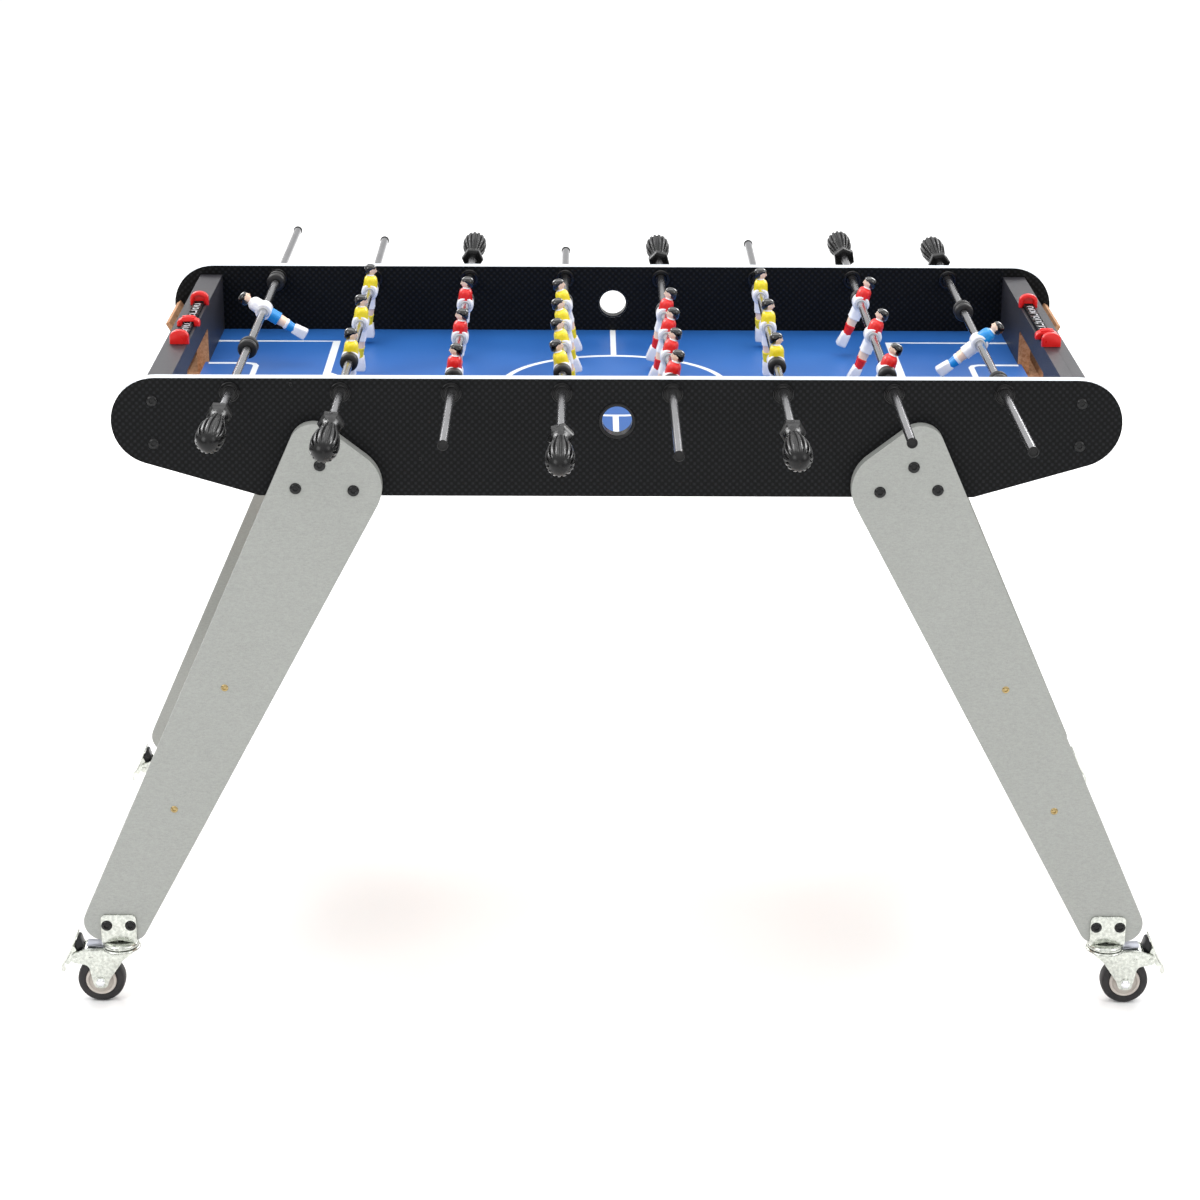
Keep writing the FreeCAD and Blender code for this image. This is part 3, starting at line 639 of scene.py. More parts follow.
def strip(path, width, lift=0.0):
    """Flat ribbon along a path of (x, y), a hair thick, on the playfield."""
    top = FIELD_Z + PRINT_T + lift
    left, right = [], []
    for i, p in enumerate(path):
        a = Vector(path[max(i - 1, 0)])
        b = Vector(path[min(i + 1, len(path) - 1)])
        run = (b - a).normalized()
        side = Vector((-run.y, run.x)) * width / 2
        if 0 < i < len(path) - 1:
            d1, d2 = (Vector(p) - a).normalized(), (b - Vector(p)).normalized()
            side *= 1 / max(0.5, math.sqrt((1 + d1.dot(d2)) / 2))
        left.append(Vector(p) + side)
        right.append(Vector(p) - side)
    return bridge([[(l.x, l.y, FIELD_Z), (r.x, r.y, FIELD_Z), (r.x, r.y, top), (l.x, l.y, top)]
                   for l, r in zip(left, right)])


def arc(cx, cy, r, a0, a1, steps=32):
    return [(cx + r * math.cos(a0 + (a1 - a0) * i / steps),
             cy + r * math.sin(a0 + (a1 - a0) * i / steps)) for i in range(steps + 1)]


def make_markings():
    shape = Shape()
    for side in (-1, 1):
        shape.add(strip([(0, side * CIRCLE_R), (0, side * (FIELD_HALF_Y - 1))], LINE_W), "line")
    shape.add(strip(arc(0, 0, CIRCLE_R, 0, TAU, 96), LINE_W, OVERLAP_LIFT), "line")
    for end in (-1, 1):
        goal = end * FIELD_HALF_X
        box_x, small_x = goal - end * BOX_DEPTH, goal - end * GOAL_DEPTH
        shape.add(strip([(goal, -BOX_HALF), (box_x, -BOX_HALF), (box_x, BOX_HALF),
                         (goal, BOX_HALF)], LINE_W), "line")
        r = CORNER_R
        half = [(goal, -GOAL_HALF), (small_x + end * r, -GOAL_HALF),
                (small_x + end * r * 0.3, -GOAL_HALF + r * 0.3), (small_x, -GOAL_HALF + r)]
        shape.add(strip(half + [(x, -y) for x, y in half[::-1]], LINE_W), "line")
        spot = goal - end * (BOX_DEPTH - SPOT_BACK)
        reach = math.acos(SPOT_BACK / ARC_R)
        first = math.pi if end > 0 else 0.0
        shape.add(strip(arc(spot, 0, ARC_R, first - reach, first + reach), LINE_W, OVERLAP_LIFT), "line")
    add_piece("field_markings", shape.mesh("field_markings"), "cabinet")


# ---- rods

ROD_PITCH = 132.0
ROD_Z = 801.0
GRIP_START = 448.0
GRIP_SHIFT = {1: 45.0, 2: 15.0, 3: -14.0, 4: 0.0, 5: 12.0, 6: 28.0, 7: -14.0, 8: -14.0}
PLAIN_END = 482.5
ROD_R = 5.3
MAN_HALF = 12.0
FIT = 0.05                             # play between a rod and what sits on it
THREE = (-174.0, 0.0, 174.0)
FOUR = (-159.0, -53.0, 53.0, 159.0)
STOP_HALF, STOP_GAP = 8.0, 2.0
KEEPER_STOPS = {1: (-193.0, 164.0), 8: (-164.0, 193.0)}

# men, handle side, push along +Y, tilt, facing, kit
RODS = {
    1: ((0.0,), -1, 101.0, -57.0, 1, "left_keeper"),
    2: (THREE, -1, 36.0, 3.0, 1, "yellow"),
    3: (THREE, 1, -36.0, 5.0, -1, "red"),
    4: (FOUR, -1, -28.0, -15.0, 1, "yellow"),
    5: (FOUR, 1, -75.0, 15.0, -1, "red"),
    6: (THREE, -1, 20.0, 0.0, 1, "yellow"),
    7: (THREE, 1, -22.0, 22.0, -1, "red"),
    8: ((0.0,), 1, -55.0, 50.0, -1, "right_keeper"),
}

# shirt, trim, shorts, leg, band, sock, boot, slot of the whole figure
KITS = {
    "yellow": ("yellow", "white", "white", "skin", "yellow", "yellow", "white", "yellow_plastic"),
    "red": ("red", "white", "white", "skin", "red", "red", "white", "red_plastic"),
    "left_keeper": ("white", "white", "sky", "skin", "white", "sky", "white", "white_plastic"),
    "right_keeper": ("sky", "white", "white", "skin", "white", "sky", "white", "blue_plastic"),
}

BELT_R = 11.0
HUB_FACE_R = 7.6
UPPER_SCALE = 0.9          # height of the figure above the rod against its drawing


# sections of the figure's parts: (z, centre x, half depth, half width[, centre y])
TORSO = ((2.0, 0.2, 8.2, 11.0), (5.0, 0.3, 9.4, 11.5), (8.0, 0.4, 9.5, 11.4), (12.0, 0.6, 9.2, 11.2),
         (16.0, 0.7, 9.0, 11.4), (19.5, 0.6, 8.3, 11.1), (21.8, 0.4, 7.0, 10.0), (23.4, 0.2, 5.4, 7.6),
         (24.4, 0.1, 4.2, 5.2))
COLLAR = ((23.6, 0.1, 4.9, 6.0), (24.4, 0.1, 4.9, 5.8), (25.4, 0.0, 4.0, 4.6), (25.8, 0.0, 3.4, 3.8))
ARM = ((4.2, 0.8, 2.5, 1.5, 9.0), (5.4, 0.6, 3.5, 2.3, 9.0), (8.0, -0.2, 4.0, 2.7, 9.0),
       (12.0, -1.2, 4.3, 2.8, 9.0), (16.0, -1.0, 4.5, 2.7, 9.0), (19.0, -0.2, 4.3, 2.5, 9.0),
       (20.8, 0.3, 3.4, 1.9, 9.0), (21.6, 0.4, 2.1, 1.0, 9.0))
NECK = ((23.6, 0.0, 3.7, 3.9), (25.4, 0.2, 3.3, 3.4), (28.0, 0.4, 3.3, 3.4))
HEAD = ((25.2, 1.9, 1.6, 1.8), (26.0, 1.6, 3.6, 3.3), (27.6, 1.2, 5.2, 4.7), (30.0, 0.9, 6.3, 5.7),
        (33.0, 0.7, 6.8, 6.2), (36.0, 0.5, 6.5, 6.0), (38.5, 0.2, 5.0, 4.7), (39.8, 0.0, 2.6, 2.4))
NOSE = ((29.2, 7.3, 0.7, 0.9), (30.0, 7.5, 1.1, 1.1), (31.4, 7.2, 1.0, 0.9), (33.0, 6.9, 0.7, 0.6))
HAIR = ((25.6, -4.4, 2.2, 3.0), (27.0, -4.2, 3.9, 4.9), (29.0, -3.7, 4.9, 6.2), (31.5, -2.9, 5.6, 6.9),
        (34.0, -1.9, 6.6, 7.2), (35.6, -0.6, 7.8, 7.2), (37.6, -0.4, 7.6, 6.7), (39.4, -0.5, 6.2, 5.4),
        (40.7, -0.6, 4.0, 3.5), (41.2, -0.6, 1.7, 1.5))
SHORTS = ((-5.0, 0.0, 6.6, 6.3, 4.9), (-10.5, 0.0, 7.4, 6.6, 5.0), (-15.0, 0.1, 7.3, 6.5, 5.0),
          (-20.6, 0.2, 7.2, 6.4, 5.0), (-21.4, 0.2, 7.5, 6.6, 5.0), (-22.6, 0.2, 7.4, 6.5, 5.0),
          (-22.9, 0.2, 6.6, 5.8, 5.0))
LEG = ((-21.5, 0.2, 5.9, 5.2, 4.8), (-25.0, 0.3, 5.9, 5.0, 4.7), (-29.0, 0.5, 5.6, 4.8, 4.6),
       (-33.5, 0.2, 5.5, 4.7, 4.5))
BAND = ((-32.4, 0.2, 5.6, 4.8, 4.5), (-32.8, 0.2, 6.1, 5.2, 4.5), (-35.6, 0.1, 6.0, 5.1, 4.5),
        (-36.2, 0.1, 5.5, 4.7, 4.5))
SOCK = ((-35.8, 0.0, 5.5, 4.7, 4.5), (-39.0, -0.1, 5.6, 4.7, 4.5), (-42.0, 0.0, 5.0, 4.3, 4.4),
        (-46.4, 0.2, 4.8, 3.9, 4.2))
BOOT = ((-44.8, 0.3, 5.0, 3.5, 4.1), (-45.6, 0.4, 5.7, 4.0, 4.1), (-50.5, 0.7, 6.1, 4.1, 4.1),
        (-56.0, 1.1, 6.5, 4.2, 4.1), (-61.6, 1.5, 6.9, 4.2, 4.1), (-63.2, 1.4, 6.4, 3.9, 4.1),
        (-64.0, 1.3, 5.5, 3.2, 4.1))


def belt_and_hub(s, trim):
    """Belt round the rod, with a stepped hub inside it."""
    inner, low = ROD_R + FIT, -MAN_HALF
    belt = mirrored([(low + 1.6, HUB_FACE_R), (low + 0.6, HUB_FACE_R + 0.5), (low + 0.4, BELT_R - 1.4),
                     (low + 1.2, BELT_R - 0.3), (low + 2.4, BELT_R), (0.0, BELT_R + 0.15)], 1)
    s.add(lathe(belt + [(-low - 1.8, inner), (low + 1.8, inner)], 48, True), trim)
    hub = mirrored([(low + 0.5, inner), (low + 0.2, inner + 0.4), (low + 0.3, HUB_FACE_R - 0.6),
                    (low + 0.9, HUB_FACE_R - 0.1), (low + 1.8, HUB_FACE_R)])
    s.add(lathe(hub, 40, True), "hub")


def man_mesh(kit):
    """One figure, feet down at the origin's rod axis, looking along +X."""
    shirt, trim, shorts, leg, band, sock, boot, _ = KITS[kit]
    s = Shape()
    belt_and_hub(s, trim)
    squash = Matrix.Diagonal((1.0, 1.0, UPPER_SCALE, 1.0))
    s.add(column(TORSO, 2.5, 36), shirt, squash)
    s.add(column(COLLAR, 2.3, 32), trim, squash)
    for side in (-1, 1):
        s.add(column(ARM, 2.2, 20, side), shirt, squash)
        s.add(ball(2.4, side * 9.0, 5.0, 2.7, 2.3, 2.3, 16, 8), leg, squash)
    s.add(column(NECK, 2.0, 24), leg, squash)
    s.add(column(HEAD, 2.1, 32), leg, squash)
    s.add(column(NOSE, 2.0, 12), leg, squash)
    s.add(ball(6.35, 0.0, 27.9, 0.5, 1.5, 0.35, 12, 6), "red", squash)
    for side in (-1, 1):          # eye, brow, ear
        s.add(ball(6.9, side * 2.3, 32.1, 0.45, 0.75, 0.5, 12, 6), "hair", squash)
        s.add(ball(6.9, side * 2.4, 33.8, 0.5, 1.3, 0.3, 12, 6), "hair", squash)
        s.add(ball(0.4, side * 6.2, 31.2, 1.3, 0.7, 1.7, 12, 8), leg, squash)
    s.add(column(HAIR, 2.2, 36), "hair", squash)
    for k in (-2, -1, 0, 1, 2):   # fringe
        s.add(ball(6.4 - abs(k) * 0.7, k * 2.5, 36.0, 1.3, 1.5, 1.9, 12, 8), "hair", squash)
    for side in (-1, 1):
        s.add(column(SHORTS, 2.6, 28, side), shorts)
        s.add(column(LEG, 2.3, 28, side), leg)
        s.add(column(BAND, 2.4, 28, side), band)
        s.add(column(SOCK, 2.3, 28, side), sock)
        s.add(column(BOOT, 5.0, 36, side), boot)
    return s.mesh("man_" + kit, 50.0)


GRIP_PROFILE = ((0.0, 8.0), (0.0, 12.4), (1.0, 14.6), (3.0, 15.5), (12.0, 15.5), (16.0, 14.4),
                (20.0, 12.2), (25.0, 10.3), (29.0, 9.5), (31.0, 9.6), (34.0, 9.9), (38.0, 10.4),
                (44.0, 11.3), (50.0, 12.2), (58.0, 13.6), (66.0, 14.9), (74.0, 15.8), (82.0, 16.5),
                (90.0, 16.8), (97.0, 16.8), (102.0, 16.6), (106.0, 16.3), (109.0, 16.0),
                (112.0, 15.4), (115.0, 14.5), (118.0, 13.2), (120.5, 11.7), (123.0, 9.8),
                (125.0, 7.6), (126.8, 4.6), (127.8, 1.4))
GRIP_RIBS, GRIP_STEP, COLLAR_R = 15, 0.9, 15.5
GROOVE_DEPTH = 3.6
BEAD_PITCH, BEAD_DEPTH = 4.6, 1.0


def smooth(value, low, high):
    t = min(1.0, max(0.0, (value - low) / (high - low)))
    return t * t * (3 - 2 * t)


def polygon(angle, sides):
    """Radius of a regular polygon with corner radius 1 at the angle."""
    sector = TAU / sides
    return math.cos(sector / 2) / math.cos((angle % sector) - sector / 2)


def grip_radius(d, r, angle):
    """Hexagonal collar, then a bulb cut by lengthwise grooves that stop short of the dome."""
    collar = 1 - smooth(d, 14.0, 27.0)
    r *= 1 - collar * (1 - polygon(angle, 6))
    groove = smooth(math.cos(angle * GRIP_RIBS), -0.1, 0.55)
    along = smooth(d, 29.0, 33.0) * (1 - smooth(d, 117.0, 121.0))
    beads = smooth(d, 30.0, 34.0) * (1 - smooth(d, 62.0, 74.0))
    notch = smooth(math.cos(TAU * d / BEAD_PITCH), -0.2, 0.9)
    r -= BEAD_DEPTH * beads * notch
    return r - GROOVE_DEPTH * groove * along * (0.5 + 0.5 * smooth(d, 35.0, 80.0))


def grip_mesh():
    """Handle from its collar face at the origin, pointing along -Y, with its set screw."""
    s = Shape()
    dense = []
    for (d0, r0), (d1, r1) in zip(GRIP_PROFILE, GRIP_PROFILE[1:]):
        steps = max(1, int((d1 - d0) / GRIP_STEP))
        dense += [(d0 + (d1 - d0) * i / steps, r0 + (r1 - r0) * i / steps) for i in range(steps)]
    dense.append(GRIP_PROFILE[-1])
    s.add(bridge([round_ring(-d, lambda a: grip_radius(d, r, a), GRIP_RIBS * 12) for d, r in dense]),
          "black")
    flat = COLLAR_R * math.cos(TAU / 12)
    place = turned(-90, "Y") @ moved(flat - 0.2, -8.0) @ turned(-90, "Z")
    s.add(lathe([(-0.5, 2.9), (0.35, 2.9), (0.6, 2.6), (0.6, 2.1), (0.1, 1.9), (-0.5, 1.7)], 24, True),
          "black", place)
    s.add(lathe([(-0.4, 1.85), (0.25, 1.8), (0.3, 1.5), (0.3, 0.8), (-0.3, 0.7)], 6), "steel", place)
    return s.mesh("grip", 30.0)


def stop_mesh(half, radius, double):
    """Rubber buffer; the keepers' have two thick rings with a groove between."""
    inner = ROD_R + FIT
    if double:
        outer = [(-half, radius - 3.4), (-half + 0.9, radius - 1.4), (-half + 2.6, radius - 0.4),
                 (-half + 4.8, radius), (-half + 8.0, radius - 0.3), (-half + 9.6, radius - 1.2),
                 (-half + 10.6, radius - 2.6), (-1.2, radius - 3.2)]
        outer = mirrored(outer)
    else:
        outer = mirrored([(-half, radius - 2.6), (-half + 0.7, radius - 1.0),
                          (-half + 2.0, radius - 0.2), (-half + 3.4, radius)])
    ring = outer + [(half, inner + 0.8), (half - 0.8, inner), (-half + 0.8, inner),
                    (-half, inner + 0.8)]
    return Shape().add(lathe(ring, 48, True), "rubber").mesh("stop", 35.0)


def cap_mesh():
    """Plug with a thin rim and a dished middle; the rim's face is at +1.5."""
    profile = [(-10.0, 0.4), (-10.0, 4.0), (0.05, 4.04), (0.05, 6.1), (0.3, 6.3), (1.1, 6.3),
               (1.45, 6.0), (1.5, 5.3), (1.3, 4.6), (0.5, 4.2), (0.3, 2.6), (0.3, 0.3)]
    return Shape().add(lathe(profile, 40), "black").mesh("end_cap", 35.0)


def rod_x(k):
    return (k - 4.5) * ROD_PITCH


def rod_place(k, y=0.0, flip=False):
    """Matrix that puts a shape made on the rod axis at y (handle towards -Y) on rod k."""
    _, side, push, tilt, _, _ = RODS[k]
    along = y if side < 0 else -y
    place = at(rod_x(k), push + along, ROD_Z) @ turned(tilt, "Y")
    return place @ turned(180.0, "Z") if flip else place


def make_rods():
    grip, cap = grip_mesh(), cap_mesh()
    plain_stop = stop_mesh(STOP_HALF, 11.2, False)
    keeper_stop = stop_mesh(13.0, 12.5, True)
    men = {kit: man_mesh(kit) for kit in KITS}
    for k, (positions, side, push, tilt, facing, kit) in RODS.items():
        body = "rod_%d" % k
        for i, y in enumerate(positions):
            add_piece("rod_%d_player_%d" % (k, i + 1), men[kit], body,
                      rod_place(k, y, facing < 0), ("rod_%d_players" % k,))
        hidden = ("rod_%d_grip_and_stops" % k,)
        add_piece("rod_%d_handle" % k, grip, body,
                  rod_place(k, -GRIP_START - GRIP_SHIFT[k], side > 0), hidden)
        add_piece("rod_%d_end_cap" % k, cap, body,
                  rod_place(k, PLAIN_END, side > 0), hidden)
        if k in KEEPER_STOPS:
            middles, stop = KEEPER_STOPS[k], keeper_stop
        else:
            middle = max(positions) + MAN_HALF + STOP_GAP + STOP_HALF
            middles, stop = (-middle, middle), plain_stop
        for i, y in enumerate(middles):
            add_piece("rod_%d_stop_%d" % (k, i + 1), stop, body,
                      rod_place(k, y), hidden)
        dress_node("rod_%d_bar" % k, "steel")
        dress_node("rod_%d_sleeves" % k, "bearing")


INNER_Y, OUTER_Y = 284.0, 300.0


def make_bearings():
    """Flanged housing with a rolled ridge outside, and the nut ring inside the panel."""
    bore = 7.45
    outer = [(0.05, 12.8), (0.9, 12.8), (1.6, 12.4), (2.0, 11.6), (1.7, 10.9), (1.3, 10.4),
             (1.5, 9.6), (2.4, 9.2), (3.0, 8.8), (3.0, 7.9), (2.6, bore), (-15.9, bore), (-15.9, 9.85),
             (0.05, 9.85)]
    inner = [(0.05, 12.8), (2.2, 12.8), (2.8, 12.3), (3.0, 11.4), (3.0, 8.2), (2.6, bore),
             (0.05, bore)]
    outside = Shape().add(lathe(outer, 48, True), "bearing").mesh("bearing_flange", 30.0)
    inside = Shape().add(lathe(inner, 48, True), "bearing").mesh("bearing_nut", 30.0)
    for k in RODS:
        for name, side in SIDES:
            add_piece("bearing_%d_%s_flange" % (k, name), outside, "cabinet",
                      at(rod_x(k), side * OUTER_Y, ROD_Z) @ facing(side), ("bearing_housings",))
            add_piece("bearing_%d_%s_nut" % (k, name), inside, "cabinet",
                      at(rod_x(k), side * INNER_Y, ROD_Z) @ facing(-side), ("bearing_housings",))


BALL_HOLE_Z = 766.5


def make_ball_cups():
    profile = [(-15.9, 18.0), (-15.9, 19.9), (0.05, 19.9), (0.05, 22.0), (0.9, 22.0), (1.6, 21.5),
               (2.0, 20.6), (1.9, 19.6), (1.2, 18.6), (0.2, 18.0)]
    mesh = Shape().add(lathe(profile, 64, True), "black").mesh("ball_cup", 30.0)
    for name, side in SIDES:
        add_piece(name + "_ball_cup", mesh, "cabinet",
                  at(0, side * OUTER_Y, BALL_HOLE_Z) @ facing(side), ("ball_entry_cups",))


# ---- score counters

END_TOP = 805.5
SCORE_X = 548.0
SLIDER_Y = {-1: -1.0, 1: -54.0}
TOOTH_PITCH, DIGIT_TURNS = 4.0, 11
RAIL_HALF, RAIL_H = 6.0, 5.0
BRACKET_T, BRACKET_ARCH = 8.0, (12.0, 18.0, 9.0)
SADDLE = ((-14.5, 0.4), (-7.2, 0.4), (-7.2, 6.6), (7.2, 6.6), (7.2, 0.4), (14.5, 0.4), (14.5, 5.4),
          (12.6, 8.4), (8.6, 10.2), (3.0, 10.9), (-3.0, 10.9), (-8.6, 10.2), (-12.6, 8.4),
          (-14.5, 5.4))
RIDGE = ((-9.0, 9.0), (9.0, 9.0), (8.0, 12.2), (3.0, 13.0), (-3.0, 13.0), (-8.0, 12.2))
SCORE_LOW, SCORE_HIGH = -88.0, 108.0
SEGMENTS = {0: "abcdef", 1: "bc", 2: "abged", 3: "abgcd", 4: "fgbc", 5: "afgcd", 6: "afgedc",
            7: "abc", 8: "abcdefg", 9: "abcdfg"}
SEGMENT_LINES = {"a": (-1, 2, 1, 2), "b": (1, 2, 1, 0), "c": (1, 0, 1, -2), "d": (-1, -2, 1, -2),
                 "e": (-1, 0, -1, -2), "f": (-1, 2, -1, 0), "g": (-1, 0, 1, 0)}


def arch(half, height, spring):
    """Half-round outline (x, z) standing on z = 0, straight up to the spring height."""
    points = [(-half, 0.0), (half, 0.0), (half, spring)]
    for i in range(1, 16):
        a = math.pi * i / 16
        points.append((half * math.cos(a), spring + (height - spring) * math.sin(a)))
    points.append((-half, spring))
    return points


def on_end(outline, x):
    return [(x + px, END_TOP + pz) for px, pz in outline]


def score_rail(x):
    """Toothed rail with a cross bar at each step and the digits 0 to 9 between them."""
    s = Shape()
    s.add(block(x - RAIL_HALF, x + RAIL_HALF, SCORE_LOW, SCORE_HIGH, END_TOP, END_TOP + RAIL_H, 0.4),
          "black")
    pitch = (SCORE_HIGH - SCORE_LOW) / DIGIT_TURNS
    for i in range(DIGIT_TURNS + 1):
        y = SCORE_LOW + i * pitch
        low, high = max(y - 1.1, SCORE_LOW), min(y + 1.1, SCORE_HIGH)
        s.add(block(x - RAIL_HALF, x + RAIL_HALF, low, high, END_TOP + 4.6, END_TOP + 6.0, 0.4), "black")
    for i in range(int((SCORE_HIGH - SCORE_LOW) / TOOTH_PITCH)):
        y = SCORE_LOW + (i + 0.5) * TOOTH_PITCH
        for out in (-1, 1):
            x0, x1 = sorted((x + out * 5.8, x + out * 6.9))
            s.add(block(x0, x1, y - 1.0, y + 1.0, END_TOP + 0.4, END_TOP + 4.6, 0.3), "black")
    for digit, keys in SEGMENTS.items():
        yc = SCORE_LOW + (digit + 1.0) * pitch
        for key in keys:
            ax, az, bx, bz = SEGMENT_LINES[key]
            x0, x1 = sorted((ax * 3.0, bx * 3.0))
            y0, y1 = sorted((az * 2.6, bz * 2.6))
            s.add(block(x + x0 - 0.9, x + x1 + 0.9, yc + y0 - 0.9, yc + y1 + 0.9,
                        END_TOP + 4.8, END_TOP + 5.5, 0.1), "digit")
    return s.mesh("score_rail")


def score_bracket(x, y, out):
    """Arched block, solid away from the rail and hollow towards it; out points to the rail."""
    s = Shape()
    rim, middle = arch(*BRACKET_ARCH), y + BRACKET_T / 2
    s.add(plate(on_end(rim, x), middle - out * BRACKET_T / 2, middle + out * 0.4, 1.1), "red")
    hole = [(px * 0.66, pz * 0.74) for px, pz in rim]
    hood = on_end(rim[1:] + rim[:1], x) + on_end(hole[1:] + hole[:1], x)[::-1]
    s.add(plate(hood, middle, middle + out * BRACKET_T / 2, 0.5), "red")
    return s.mesh("score_bracket")


def score_marker(x, y):
    s = Shape()
    s.add(plate(on_end(SADDLE, x), y - 6.0, y + 6.0, 0.8), "red")
    for out in (-1, 1):
        s.add(plate(on_end(RIDGE, x), y + out * 2.2, y + out * 5.4, 0.7), "red")
    return s.mesh("score_marker")


def make_score_counters():
    for name, end in ENDS:
        x = end * SCORE_X
        add_piece(name + "_score_rail", score_rail(x), "cabinet",
                  replaces=("score_rails",))
        for tag, y, out in (("near", SCORE_LOW - BRACKET_T, 1), ("far", SCORE_HIGH, -1)):
            add_piece("%s_%s_score_bracket" % (name, tag), score_bracket(x, y, out), "cabinet",
                      replaces=("score_rails",))
        add_piece(name + "_score_marker", score_marker(x, SLIDER_Y[end]), name + "_score_slider",
                  replaces=(name + "_score_slider",))


# ---- bolts

LEG_Y = 316.0
LEG_BOLTS = ((355.6, 714.5), (385.4, 685.7), (316.0, 683.2))
CROSS_BOLTS = ((480.0, 429.0), (549.0, 266.3))
PANEL_BOLTS = ((555.0, 789.5), (555.0, 736.5))
CASTER_X, CASTER_BOLT_X, CASTER_BOLT_Z = 626.0, 15.0, 107.0
PANEL_SCREWS = ((-236.0, 719.0), (-389.0, 811.0))


def head_mesh(name, radius, height, socket, finish, sides=6):
    """Button head with a washer edge and a hexagonal socket, standing out along +Y."""
    profile = [(0.0, radius), (0.5, radius), (0.9, radius - 0.25), (height * 0.62, radius * 0.84),
               (height * 0.9, radius * 0.66), (height, radius * 0.52)]
    recess = [(height, 1.08), (height - 0.2, 1.0), (height - 1.7, 0.96)]
    rings = [round_ring(y, lambda a: r, 48) for y, r in profile]
    rings += [round_ring(y, lambda a: socket * scale * polygon(a, sides), 48) for y, scale in recess]
    return Shape().add(bridge(rings), finish).mesh(name, 30.0)


def make_bolts():
    black = head_mesh("black_bolt", 7.0, 3.0, 2.9, "bolt")
    brass = head_mesh("brass_bolt", 4.6, 1.9, 2.5, "brass")
    tiny = head_mesh("tiny_screw", 2.6, 1.9, 1.0, "bolt", 4)
    for ename, end in ENDS:
        for sname, side in SIDES:
            corner = "%s_%s" % (sname, ename)
            groups = [("panel", black, "black_steel", OUTER_Y, PANEL_BOLTS),
                      ("leg", black, "black_steel", LEG_Y, LEG_BOLTS),
                      ("cross", brass, "zinc_steel", LEG_Y - 0.5, CROSS_BOLTS),
                      ("caster", black, "black_steel", LEG_Y + 2.5,
                       [(CASTER_X + end * i * CASTER_BOLT_X, CASTER_BOLT_Z) for i in (-1, 1)])]
            for tag, head, slot, y, places in groups:
                for i, (x, z) in enumerate(places):
                    add_piece("%s_%s_bolt_%d" % (corner, tag, i + 1), head, "cabinet",
                              at(end * x, side * y, z) @ facing(side), ("fasteners",))
    for i, (x, z) in enumerate(PANEL_SCREWS):
        add_piece("panel_screw_%d" % (i + 1), tiny, "cabinet",
                  at(x, -OUTER_Y + 0.6, z) @ facing(-1))


# ---- casters

TRAIL, WHEEL_R = 26.0, 30.0
BRAKE_U, BRAKE_Z = 57.0, 63.0
RIVET_U = 37.0
PLATE_LOW, PLATE_HIGH = 83.0, 122.0
PLATE_HALF = 22.5
CHEEK_Y = 15.0
UPRIGHT = turned(90, "X")          # stands a turned part on the swivel axis


def corner_place(end, side):
    """Mirrors a shape made for the rear right corner's swivel axis."""
    return Matrix.Translation((end * CASTER_X, side * (OUTER_Y + 8.0), 0)) @ Matrix.Diagonal(
        (end, side, 1, 1))


def plate_shape():
    """Angle plate with an arched lower edge, domed race under it and the king pin's head."""
    s, low, high, half = Shape(), PLATE_LOW, PLATE_HIGH, PLATE_HALF
    arched = [(-half, low), (-17.0, low)]
    arched += [(-15.0 + 30.0 * i / 12, low + 3.4 * math.sin(math.pi * i / 12)) for i in range(1, 12)]
    arched += [(17.0, low), (half, low)]
    upright = arched + rounded([(half, low), (half, high), (-half, high), (-half, low)],
                               [0.0, 7.0, 7.0, 0.0], 8)[1:-1]
    s.add(plate(upright, 8.0, 10.5, 0.5), "zinc")
    foot = [(-half, 8.2), (-half, -26.0), (-half + 1.8, -30.0), (-half + 5.4, -31.4)]
    foot = mirrored(foot) + [(13.0, 8.2), (10.0, 4.4), (-10.0, 4.4), (-13.0, 8.2)]
    s.add(plate(foot, low, low + 2.4, 0.4, "Z"), "zinc")
    race = [(82.9, 8.0), (82.9, 19.0), (82.2, 20.9), (80.8, 22.5), (79.2, 23.4), (77.6, 23.5),
            (76.9, 22.9), (77.1, 21.0), (77.8, 8.0)]
    s.add(lathe(race, 64, True), "zinc", UPRIGHT)
    pin = [(71.6, 4.6), (71.5, 5.6), (72.3, 6.2), (73.3, 6.2), (73.5, 3.9), (83.1, 3.9), (85.4, 3.9),
           (85.45, 1.0)]
    s.add(lathe(pin, 32), "zinc", UPRIGHT)
    return s


